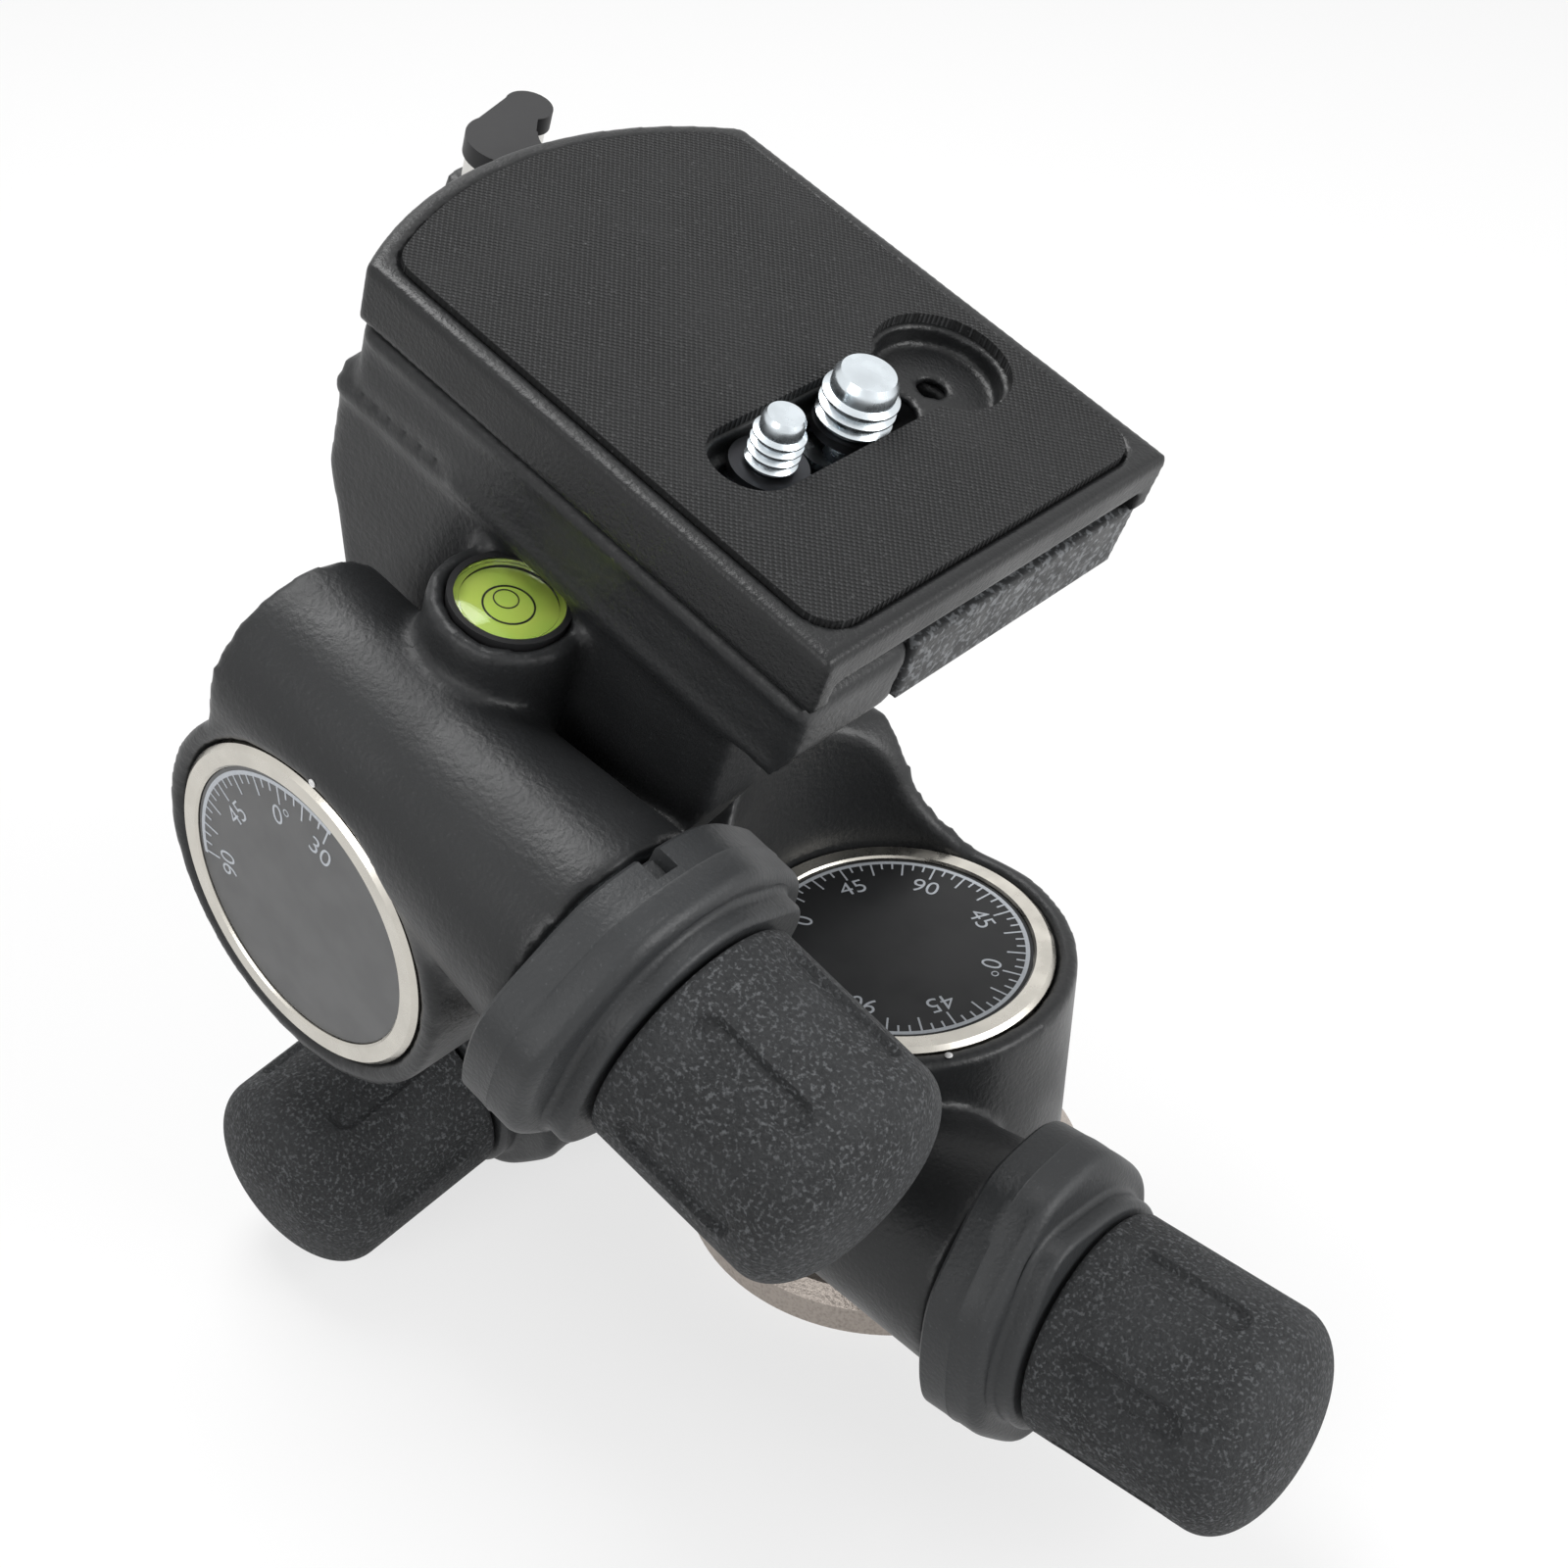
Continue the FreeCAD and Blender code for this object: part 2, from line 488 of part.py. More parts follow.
# Pan housing: drum, worm boss, the arm that rises at its back to the lower tilt axis, and the curved wall
# round the back of the dial that flows from the drum's rim up to the arm.
solid, hollow = housing_parts("pan_worm_drop", -1)
drum = fuse(*solid)
drum.Placement = pan_place
room = fuse(*hollow)
room.Placement = pan_place
house_low = size.base_thick + size.turn_gap
lower_centre = V(size.lower_axis_y, size.lower_axis_z, 0)
arm = arm_feature(arm_shape(lower_centre, size.foot_left, size.house_radius - size.foot_inset,
                            house_low, house_low + size.foot_turn),
                  FreeCAD.Placement(V(lower_wall_face - size.wall_thick, 0, 0),
                                    FreeCAD.Rotation(V(0, 1, 0), V(0, 0, 1), V(1, 0, 0), "ZXY")))
bridge = box("bridge_depth", "house_radius - bridge_inset - lower_axis_y + wall_radius - 0.5", "house_length",
             ("-house_radius - bridge_back", "lower_axis_y - wall_radius + 0.5", "base_thick + turn_gap"))


def bowed(start, end, bow):
    """Arc between two points of an upright plane, standing off its chord."""
    chord = end - start
    off = V(chord.z, 0, -chord.x).normalize() * bow
    return Part.Arc(start, (start + end) * 0.5 + off, end).toShape()


def dial_wall():
    """Wall round the back of the dial, cut along a double curve from the rim to the arm's round end."""
    radius = size.house_radius
    low = dial_height - size.ring_thick
    high = size.lower_axis_z + size.wall_radius
    rise = V(-size.curve_start, 0, dial_height)
    crest = V(-size.curve_end, 0, high)
    middle = (rise + crest) * 0.5
    corners = [crest, V(-radius, 0, high), V(-radius, 0, low), V(-size.curve_start, 0, low), rise]
    edges = [bowed(rise, middle, -size.curve_bow), bowed(middle, crest, size.curve_bow)]
    for start, end in zip(corners, corners[1:]):
        edges.append(Part.LineSegment(start, end).toShape())
    side = Part.Face(Part.Wire(edges)).extrude(V(0, 2 * radius, 0))
    side.translate(V(0, -radius, 0))
    half = size.wall_radius - size.lower_axis_y
    filler = Part.makeBox(radius - size.curve_start, 2 * half, high - low, V(-radius, -half, low))
    tube = Part.makeCylinder(radius, high - low, V(0, 0, low)).fuse(filler)
    round_end = Part.makeCylinder(size.wall_radius + size.curve_bow, radius * 2,
                                  V(-radius * 1.5, size.lower_axis_y, size.lower_axis_z), V(1, 0, 0))
    return tube.common(side).common(round_end)


wall = arm_feature(dial_wall(), FreeCAD.Placement())
dial_room = cylinder("ring_outer + turn_gap", "house_length", (0, 0, "base_thick + turn_gap + house_length - 1"))
arm_hole = cylinder("shaft_radius", "wall_thick + 2",
                    ("-house_radius - wall_side_gap + wall_gap - wall_thick - 1", "lower_axis_y", "lower_axis_z"), "x")
keep(cut(fuse(drum, arm, bridge, wall), arm_hole, dial_room, room), "pan_housing")
bush("pan", pan_place)
drive_set("pan", pan_place, size.pan_worm_drop, -1)

# Lower tilt: the shaft set stays with the pan housing's arm, the housing turns round it.
tilt_shaft("lower_tilt", lower_place)
dial_set("lower_tilt", lower_place, size.lower_worm_drop)
bush("lower_tilt", lower_place)
solid, hollow = housing_parts("lower_worm_drop", -1)
drum = fuse(*solid)
drum.Placement = lower_place
room = fuse(*hollow)
room.Placement = lower_place
arm_mid = lower_dial_x + size.house_length / 2
foot = size.house_length / 2 - size.foot_inset
upper_centre = V(size.upper_axis_x - arm_mid, size.upper_axis_z, 0)
arm = arm_feature(arm_shape(upper_centre, -foot, foot, size.lower_axis_z - size.foot_drop,
                            size.lower_axis_z + size.foot_rise),
                  FreeCAD.Placement(V(arm_mid, upper_wall_face, 0),
                                    FreeCAD.Rotation(V(1, 0, 0), V(0, 0, 1), V(0, -1, 0), "ZXY")))
bridge = box("house_length - 6", "house_radius", "2 * foot_drop",
             (lower_dial_x + 5, "lower_axis_y - house_radius - 2", "lower_axis_z - foot_drop"))
arm_hole = cylinder("shaft_radius", "wall_thick + 2", ("upper_axis_x", upper_wall_face + 1, "upper_axis_z"), "-y")
keep(cut(fuse(drum, arm, bridge), arm_hole, room), "lower_tilt_housing")
drive_set("lower_tilt", lower_place, size.lower_worm_drop, -1)

# Upper tilt: the shaft set stays with the lower tilt housing's arm.
tilt_shaft("upper_tilt", upper_fixed_place)
dial_set("upper_tilt", upper_fixed_place, size.upper_worm_drop)
bush("upper_tilt", upper_place)


def axle_screw(label, place):
    """Button screw that draws a tilt shaft into its arm."""
    at = place.multiply(FreeCAD.Placement(V(0, 0, -size.house_length - size.turn_gap - size.wall_thick),
                                          FreeCAD.Rotation()))
    keep(cylinder("screw_head_radius", "screw_head_thick"), label, at)


axle_screw("lower_tilt_axle_screw", lower_place)
axle_screw("upper_tilt_axle_screw", upper_fixed_place)


def plate_solid(inset, low, high):
    """Plate outline, square at the front end and round at the back, pulled in by an inset, between two heights."""
    half = size.plate_width / 2 - inset
    front = size.plate_length / 2 - inset
    radius = size.plate_end_radius - inset
    centre = -size.plate_length / 2 + size.plate_end_radius
    corner = centre - math.sqrt(radius * radius - half * half)
    mid = size.plate_centre_y
    wire = Part.Wire([
        Part.LineSegment(V(corner, mid - half, low), V(front, mid - half, low)).toShape(),
        Part.LineSegment(V(front, mid - half, low), V(front, mid + half, low)).toShape(),
        Part.LineSegment(V(front, mid + half, low), V(corner, mid + half, low)).toShape(),
        Part.Arc(V(corner, mid + half, low), V(centre - radius, mid, low), V(corner, mid - half, low)).toShape()])
    return Part.Face(wire).extrude(V(0, 0, high - low))


def upright_edges(shape, radius, reach):
    """Rounds the upright corners of a plate outline that lie further out than a reach."""
    edges = [edge for edge in shape.Edges if abs(edge.tangentAt(edge.FirstParameter).z) > 0.99
             and math.hypot(edge.Vertexes[0].X, edge.Vertexes[0].Y - size.plate_centre_y) > reach]
    return shape.makeFillet(radius, edges)


def top_rim(shape, height, radius):
    """Rounds the edges that lie at one height."""
    edges = [edge for edge in shape.Edges if all(abs(v.Z - height) < 1e-6 for v in edge.Vertexes)]
    return shape.makeFillet(radius, edges)


def slot_solid(width, low, high, start, end):
    """Round-ended slot along Y between two heights."""
    half = width / 2
    body = Part.makeBox(width, end - start, high - low, V(size.slot_x - half, start, low))
    body = body.fuse(Part.makeCylinder(half, high - low, V(size.slot_x, start, low)))
    return body.fuse(Part.makeCylinder(half, high - low, V(size.slot_x, end, low))).removeSplitter()


# Quick-release plate, its rubber pad and the two camera screws.
top = size.plate_top
under = top - size.plate_thick
skirt_low = top - size.skirt_drop
plate = top_rim(plate_solid(0, under, top), top, size.plate_edge_round)
for sign in (-1, 1):
    edge_y = size.plate_centre_y + sign * (size.plate_width / 2 - size.skirt_wall / 2)
    skirt = Part.makeBox(size.plate_length * 2, size.skirt_wall, size.skirt_drop - size.plate_thick,
                         V(-size.plate_length, edge_y - size.skirt_wall / 2, skirt_low))
    plate = plate.fuse(skirt.common(plate_solid(0, skirt_low, under)))
plate = plate.removeSplitter()
pad_floor = top - size.pad_thick + size.pad_proud
pad_room = upright_edges(plate_solid(size.pad_inset - 0.4, pad_floor, top + 3), size.pad_corner, 20)
slot_ledge = under + 1.6
slot_start = size.slot_low + size.slot_width / 2
plate = plate.cut(pad_room)
plate = plate.cut(slot_solid(size.slot_width, slot_ledge, top + 3, slot_start, size.slot_high))
plate = plate.cut(slot_solid(size.slot_step, under - 1, top, slot_start, size.slot_high - size.recess_radius))
recess_low = pad_floor - size.recess_depth + 0.6
plate = plate.cut(Part.makeCylinder(size.recess_radius, 10, V(size.slot_x, size.slot_high, recess_low)))
plate = plate.cut(Part.makeCylinder(size.peg_hole_radius, 10, V(size.slot_x, size.slot_high, under - 1)))
feature(plate, "quick_plate", top_place)
pad = upright_edges(plate_solid(size.pad_inset, pad_floor, top + size.pad_proud), size.pad_corner - 0.4, 20)
pad = pad.cut(slot_solid(size.slot_width + 1.2, under, top + 3, slot_start, size.slot_high))
pad = pad.cut(Part.makeCylinder(size.recess_radius + 0.8, 10, V(size.slot_x, size.slot_high, under)))
feature(pad, "rubber_pad", top_place)


def camera_screw(label, radius, pitch, y):
    """Threaded stud with a coned tip, a thin neck through the washer and a flat head under the plate."""
    tip = top + size.camera_screw_proud
    root = radius - pitch * 0.45
    start = slot_ledge + size.washer_thick + 0.2
    points = [V(0, 0, under - size.camera_screw_head - 0.1), V(size.screw_head_radius, 0, under - size.camera_screw_head - 0.1),
              V(size.screw_head_radius, 0, under - 0.1), V(size.camera_shank, 0, under - 0.1),
              V(size.camera_shank, 0, start), V(root, 0, start)]
    height = start
    while height + pitch < tip - radius * 0.3:
        points += [V(root, 0, height + pitch * 0.1), V(radius, 0, height + pitch * 0.42),
                   V(radius, 0, height + pitch * 0.58), V(root, 0, height + pitch * 0.9)]
        height += pitch
    points += [V(root, 0, tip - radius * 0.24), V(root * 0.84, 0, tip), V(0, 0, tip)]
    points.append(points[0])
    shape = Part.Face(Part.makePolygon(points)).revolve(V(0, 0, 0), V(0, 0, 1), 360)
    place = top_place.multiply(FreeCAD.Placement(V(size.slot_x, y, 0), FreeCAD.Rotation()))
    feature(shape, label, place)
    outer = size.slot_width / 2 - size.washer_side
    washer = Part.makeCylinder(outer, size.washer_thick, V(size.slot_x, y, slot_ledge + size.washer_seat))
    washer = washer.cut(Part.makeCylinder(size.camera_shank + size.washer_gap, 10, V(size.slot_x, y, under)))
    feature(washer, label + "_washer", top_place)


inch = 25.4
camera_screw("large_camera_screw", size.big_screw_radius, inch / 16, size.big_screw_y)
camera_screw("small_camera_screw", size.small_screw_radius, inch / 20, size.small_screw_y)

# Upper tilt housing: drum, worm boss, level boss, neck and the platform that takes the plate.
solid, hollow = housing_parts("upper_worm_drop", 1)
drum = fuse(*solid)
drum.Placement = upper_local
room = fuse(*hollow)
room.Placement = upper_local
platform_high = skirt_low - size.platform_gap
platform_low = platform_high - size.platform_thick
rail_top = platform_high + size.rail_height
jaw_x = size.plate_length / 2 - size.platform_inset - size.jaw_depth
jaw_y = size.plate_centre_y + size.jaw_split
jaw_room = Part.makeBox(40, 80, 40, V(jaw_x, jaw_y, platform_low - 1))
deck = plate_solid(size.platform_inset, platform_low, platform_high)
rail = plate_solid(size.rail_inset, platform_high, rail_top)
rail_slot_end = size.slot_high - size.screw_head_radius
rail = rail.cut(slot_solid(size.screw_head_radius * 2 + 4, platform_high, rail_top + 1, slot_start - 2, rail_slot_end))
deck = deck.fuse(rail)
jaw = deck.common(Part.makeBox(40, 80, 40, V(jaw_x + size.jaw_gap, jaw_y + size.jaw_gap, platform_low - 1)))
feature(jaw, "side_jaw", top_place)
lug = Part.makeCylinder(size.lug_radius, platform_high - size.lug_base - 3.0, V(size.lever_x, size.lever_y, size.lug_base))
lug = lug.fuse(Part.makeBox(14, size.lug_radius * 2, 7, V(size.lever_x, size.lever_y - size.lug_radius, platform_low - 2)))
neck_outline = [V(-size.neck_base_half, 0, 0), V(size.neck_low, 0, 33), V(size.neck_low, 0, platform_low + 1),
                V(size.neck_high, 0, platform_low + 1), V(size.neck_high, 0, 31), V(size.neck_base_half, 0, 0)]
neck_outline.append(neck_outline[0])
neck = Part.Face(Part.makePolygon(neck_outline)).extrude(V(0, upper_back - size.neck_front, 0))
neck.translate(V(0, size.neck_front, 0))
spine = Part.makeBox(size.spine_high - size.spine_low, size.plate_width / 2 + 20, size.spine_drop + 1,
                     V(size.spine_low, size.neck_front + 2, platform_low - size.spine_drop))
rib = Part.makeCylinder(size.bead_radius, size.neck_high - size.neck_low, V(size.neck_low, size.neck_front, platform_low - 2.6),
                        V(1, 0, 0))
solid_top = deck.cut(jaw_room).fuse([neck, spine, rib, lug])
solid_top = solid_top.cut(Part.makeCylinder(size.lever_pin_radius, 40, V(size.lever_x, size.lever_y, size.lug_base + 2)))
casting = arm_feature(solid_top, FreeCAD.Placement())
vial_boss = cylinder("vial_boss_radius", "vial_top - vial_boss_base", ("vial_x", "vial_y", "vial_boss_base"))
vial_room = cylinder("vial_radius + vial_wall", "vial_depth + 1", ("vial_x", "vial_y", "vial_top - vial_depth"))
swing = cylinder("sweep_radius", "plate_width", (0, upper_back, 0), "y")
keep(cut(fuse(drum, casting, vial_boss), room, vial_room, swing), "upper_tilt_housing", top_place)
drive_set("upper_tilt", upper_place, size.upper_worm_drop, 1)

# Bubble level: cup, fluid and clear domed cap in the boss in front of the platform.
vial_place = top_place.multiply(FreeCAD.Placement(V(size.vial_x, size.vial_y, size.vial_top), FreeCAD.Rotation()))
revolved("level_cup", [
    (0, "-vial_depth"), ("vial_radius + vial_wall", "-vial_depth"), ("vial_radius + vial_wall", "0.3"),
    ("vial_radius", "0.3"), ("vial_radius", "-vial_depth + 1"), (0, "-vial_depth + 1")], vial_place)
keep(cylinder("vial_radius", "vial_depth - 2.2", (0, 0, "-vial_depth + 1")), "level_fluid", vial_place)
dome = Part.Wire([
    Part.LineSegment(V(0, 0, -1.2), V(size.vial_radius, 0, -1.2)).toShape(),
    Part.LineSegment(V(size.vial_radius, 0, -1.2), V(size.vial_radius, 0, 0)).toShape(),
    dome_arc(size.vial_radius, 0, size.vial_dome),
    Part.LineSegment(V(0, 0, size.vial_dome), V(0, 0, -1.2)).toShape()])
feature(Part.Face(dome).revolve(V(0, 0, 0), V(0, 0, 1), 360), "level_cap", vial_place)

# Release lever at the round end: metal hub on its pin, with a dark cap that has a concave thumb rest.
lever_place = top_place.multiply(FreeCAD.Placement(V(size.lever_x, size.lever_y, 0), FreeCAD.Rotation()))


def lever_outline(low, high, shrink):
    hub = Part.makeCylinder(size.lever_hub - shrink, high - low, V(0, 0, low))
    tip = Part.makeCylinder(size.lever_half - 1.4 - shrink, high - low, V(-4.6, size.lever_reach - 4.6, low))
    web_points = [V(-size.lever_hub + shrink, 0, low), V(-7.6 + shrink, size.lever_reach - 5.2, low),
                  V(-2.4, size.lever_reach - 5.0, low), V(size.lever_hub - shrink, 0, low)]
    web_points.append(web_points[0])
    web = Part.Face(Part.makePolygon(web_points)).extrude(V(0, 0, high - low))
    bite = Part.makeCylinder(size.bite_radius, high - low, V(4.6, size.lever_reach - 3.4, low))
    return hub.fuse([tip, web]).cut(bite).removeSplitter()


lever_low = platform_high - 3.0 + size.turn_gap
hub = lever_outline(lever_low, size.lever_body_top, 0.5)
hub = hub.cut(Part.makeCylinder(size.lever_pin_radius + size.lever_gap, 40, V(0, 0, lever_low - 20)))
feature(hub, "release_lever", lever_place)
cap = lever_outline(size.lever_body_top, size.lever_body_top + size.lever_cap_thick, 0)
feature(cap, "lever_cap", lever_place)
pin = Part.makeCylinder(size.lever_pin_radius, size.lever_body_top - 0.5 - size.lug_base - 2, V(0, 0, size.lug_base + 2))
feature(pin, "lever_pin", lever_place)

doc.recompute()
doc.recompute()
for item in doc.Objects:
    states = set(item.State)
    if "Invalid" in states or "Error" in states:
        raise RuntimeError("object failed: %s %s" % (item.Label, item.State))
if len(nodes) > 60:
    raise RuntimeError("too many nodes: %d" % len(nodes))
for item in nodes:
    if item.Shape.isNull() or not item.Shape.isValid() or not item.Shape.Solids:
        raise RuntimeError("bad shape: %s" % item.Label)
for item in nodes:
    item.Shape.exportStep("parts/%s.step" % item.Label)
    low = item.Shape.BoundBox
    print("%-28s %d solids %9.1f mm3  x %.1f..%.1f y %.1f..%.1f z %.1f..%.1f" % (
        item.Label, len(item.Shape.Solids), item.Shape.Volume, low.XMin, low.XMax, low.YMin, low.YMax,
        low.ZMin, low.ZMax))
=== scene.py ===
"""A geared tripod head on a pale studio floor: three worm drives with dials, a level and a camera plate."""
import json
import math
import bmesh
import bpy
import numpy as np
from mathutils import Matrix, Vector


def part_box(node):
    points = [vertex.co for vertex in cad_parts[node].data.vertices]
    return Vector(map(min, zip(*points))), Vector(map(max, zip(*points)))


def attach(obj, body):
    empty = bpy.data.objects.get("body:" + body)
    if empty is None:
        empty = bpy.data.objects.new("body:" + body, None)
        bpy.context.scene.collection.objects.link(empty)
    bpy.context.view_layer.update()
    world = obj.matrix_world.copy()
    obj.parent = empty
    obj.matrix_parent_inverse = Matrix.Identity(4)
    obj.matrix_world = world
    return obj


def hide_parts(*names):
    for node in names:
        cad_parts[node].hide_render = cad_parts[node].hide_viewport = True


bl_info = {
    "name": "Geared Tripod Head",
    "version": (1, 0, 0),
    "blender": (4, 5, 0),
    "location": "View3D > Sidebar > Tripod Head",
    "description": "Dresses the geared tripod head with its cast, rubber and printed finishes",
    "category": "Object",
}

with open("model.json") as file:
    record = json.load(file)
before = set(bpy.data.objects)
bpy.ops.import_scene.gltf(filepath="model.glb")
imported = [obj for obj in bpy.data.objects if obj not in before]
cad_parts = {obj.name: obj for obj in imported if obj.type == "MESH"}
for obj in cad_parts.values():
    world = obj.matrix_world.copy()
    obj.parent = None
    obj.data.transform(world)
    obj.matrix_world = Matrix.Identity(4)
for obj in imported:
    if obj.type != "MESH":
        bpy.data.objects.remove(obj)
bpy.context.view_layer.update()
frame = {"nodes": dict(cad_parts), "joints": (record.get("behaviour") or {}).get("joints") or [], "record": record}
NODES = frame["nodes"]
MM = 0.001
DRIVES = ("pan", "lower_tilt", "upper_tilt")
DIAL_BODY = {"pan": "base", "lower_tilt": "pan_body", "upper_tilt": "lower_tilt_body"}
JOINT = {joint["name"]: joint for joint in frame["joints"]}
WORM_ACROSS = {"pan": (0, 0, -1), "lower_tilt": (1, 0, 0), "upper_tilt": (0, 1, 0)}

# The upper tilt's angle and axis in the photograph
TOP_TILT = math.radians(19.7)
TOP_ORIGIN = Vector((-0.0413, 0.0, 0.0726))
TOP_FRAME = Matrix.Translation(TOP_ORIGIN) @ Matrix.Rotation(TOP_TILT, 4, "Y")


def upright(along, across, origin):
    """Frame whose Z runs along one direction and whose X lies as near as it can to another."""
    z = Vector(along).normalized()
    x = (Vector(across) - z * z.dot(Vector(across))).normalized()
    y = z.cross(x)
    turn = Matrix((x, y, z)).transposed().to_4x4()
    return Matrix.Translation(Vector(origin)) @ turn


def worm_frame(drive):
    """Frame of a drive's worm: Z runs towards the knob, X points back along the wheel's axis."""
    joint = JOINT[drive + "_knob_turn"]
    return upright(joint["axis"], WORM_ACROSS[drive], joint["pos_m"])


def dial_frame(drive):
    """Frame of a dial's face: Z points out of the face and Y up the face."""
    low, high = (Vector(corner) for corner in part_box(drive + "_dial_ring"))
    middle = (low + high) / 2
    if drive == "pan":
        return upright((0, 0, 1), (1, 0, 0), (middle.x, middle.y, high.z))
    if drive == "lower_tilt":
        return upright((-1, 0, 0), (0, -1, 0), (low.x, middle.y, middle.z))
    return upright((0, -1, 0), (1, 0, 0), (middle.x, low.y, middle.z))


# Mesh helpers

CAD_GAP = 2e-6
GRID_GAP = 1e-6
CRISP_EDGE = math.radians(32)
CRISP_TURNED_EDGE = math.radians(38)
SOFTEN_SHARE = 0.5


def placed(points, place):
    """Points in millimetres of a local frame, taken to metres of the object's frame."""
    matrix = np.array(place)
    return np.asarray(points, float) * MM @ matrix[:3, :3].T + matrix[:3, 3]


def link_object(name, data):
    """New object in the scene that holds a mesh, a text, a lamp or a camera."""
    item = bpy.data.objects.new(name, data)
    bpy.context.scene.collection.objects.link(item)
    return item


def mesh_piece(name, points, faces, material, smooth=True):
    """New mesh object from arrays of points in metres and of faces."""
    mesh = bpy.data.meshes.new(name)
    mesh.from_pydata(np.asarray(points).tolist(), [], np.asarray(faces).tolist())
    mesh.update()
    mesh.materials.append(material)
    mesh.polygons.foreach_set("use_smooth", np.full(len(mesh.polygons), smooth))
    return link_object(name, mesh)


def smooth_all(mesh):
    """Shades every face of a mesh smooth."""
    mesh.polygons.foreach_set("use_smooth", np.ones(len(mesh.polygons), bool))


def mend(mesh, gap=0.0, outwards=False):
    """Joins a mesh's points that lie within a gap and, where asked, points its faces outwards."""
    work = bmesh.new()
    work.from_mesh(mesh)
    if gap:
        bmesh.ops.remove_doubles(work, verts=work.verts, dist=gap)
    if outwards:
        bmesh.ops.recalc_face_normals(work, faces=work.faces)
    work.to_mesh(mesh)
    work.free()


def evaluated_mesh(item):
    """Mesh of an object with its modifiers or its text worked out."""
    bpy.context.view_layer.update()
    return bpy.data.meshes.new_from_object(item.evaluated_get(bpy.context.evaluated_depsgraph_get()))


def ring_faces(rows, columns, closed_rows):
    """Quads of a grid whose columns wrap round, and whose rows do too where asked."""
    i = np.arange(rows if closed_rows else rows - 1)[:, None]
    j = np.arange(columns)[None, :]
    right = (j + 1) % columns
    here = i * columns
    following = (i + 1) % rows * columns
    quads = np.stack([here + j, here + right, following + right, following + j], axis=-1)
    return quads.reshape(-1, 4)


def capped_faces(rows, columns):
    """Faces of a grid whose columns wrap round, with a polygon over its first and its last ring."""
    first = [list(range(columns))[::-1]]
    last = [list(range((rows - 1) * columns, rows * columns))]
    return ring_faces(rows, columns, False).tolist() + first + last


def boxes(centres, halves, axes):
    """Points and faces of many flat boxes: each has a centre, half sizes and three axis directions."""
    signs = np.array([(x, y, z) for z in (-1, 1) for y in (-1, 1) for x in (-1, 1)], float)
    offsets = signs[None, :, :] * halves[:, None, :]
    points = centres[:, None, :] + np.einsum("nij,njk->nik", offsets, axes)
    face = np.array([(0, 2, 3, 1), (4, 5, 7, 6), (0, 1, 5, 4), (2, 6, 7, 3), (0, 4, 6, 2), (1, 3, 7, 5)])
    faces = face[None, :, :] + (np.arange(len(centres)) * 8)[:, None, None]
    return points.reshape(-1, 3), faces.reshape(-1, 4)


def merged_mesh(node):
    """Copy of a frame node's mesh with its loose triangles joined."""
    mesh = NODES[node].data.copy()
    if "custom_normal" in mesh.attributes:
        mesh.attributes.remove(mesh.attributes["custom_normal"])
    mend(mesh, CAD_GAP)
    mesh.materials.clear()
    return mesh


def joined(first, others):
    """Adds the meshes of other objects to the first and removes those objects."""
    work = bmesh.new()
    work.from_mesh(first.data)
    for other in others:
        work.from_mesh(other.data)
        bpy.data.objects.remove(other)
    work.to_mesh(first.data)
    work.free()


def cast_skin(name, node, body, material, voxel_mm, passes, extras=()):
    """Casting's skin: the node and its extra beads joined on a voxel grid, then softened at every edge."""
    piece = link_object(name, merged_mesh(node))
    joined(piece, extras)
    grid = piece.modifiers.new("grid", "REMESH")
    grid.mode = "VOXEL"
    grid.voxel_size = voxel_mm * MM
    soften = piece.modifiers.new("soften", "SMOOTH")
    soften.factor = SOFTEN_SHARE
    soften.iterations = passes
    skin = evaluated_mesh(piece)
    piece.modifiers.clear()
    piece.data = skin
    skin.materials.clear()
    skin.materials.append(material)
    smooth_all(skin)
    return settle(piece, body, node)


def turned_copy(name, node, body, material):
    """Machined or moulded piece: the node's own shape with smooth faces and crisp edges."""
    piece = link_object(name, merged_mesh(node))
    piece.data.materials.append(material)
    smooth_all(piece.data)
    piece.data.set_sharp_from_angle(angle=CRISP_EDGE)
    return settle(piece, body, node)


def settle(piece, body, node=None):
    """Makes a piece ride on its body and hides the node that it stands for."""
    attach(piece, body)
    if node:
        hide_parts(node)
    return piece


def body_of(node):
    """Moving body that the record puts a node in."""
    return next(body for body, members in frame["record"]["behaviour"]["bodies"].items() if node in members)


# Materials

def shade(colour, factor):
    """Colour made lighter or darker by a factor."""
    return tuple(factor * channel for channel in colour)


def maths(tree, operation, *values):
    """Result of one maths node in a node tree, fed with sockets or with plain numbers."""
    node = tree.nodes.new("ShaderNodeMath")
    node.operation = operation
    for value, socket in zip(values, node.inputs):
        if isinstance(value, float):
            socket.default_value = value
        else:
            tree.links.new(value, socket)
    return node.outputs[0]


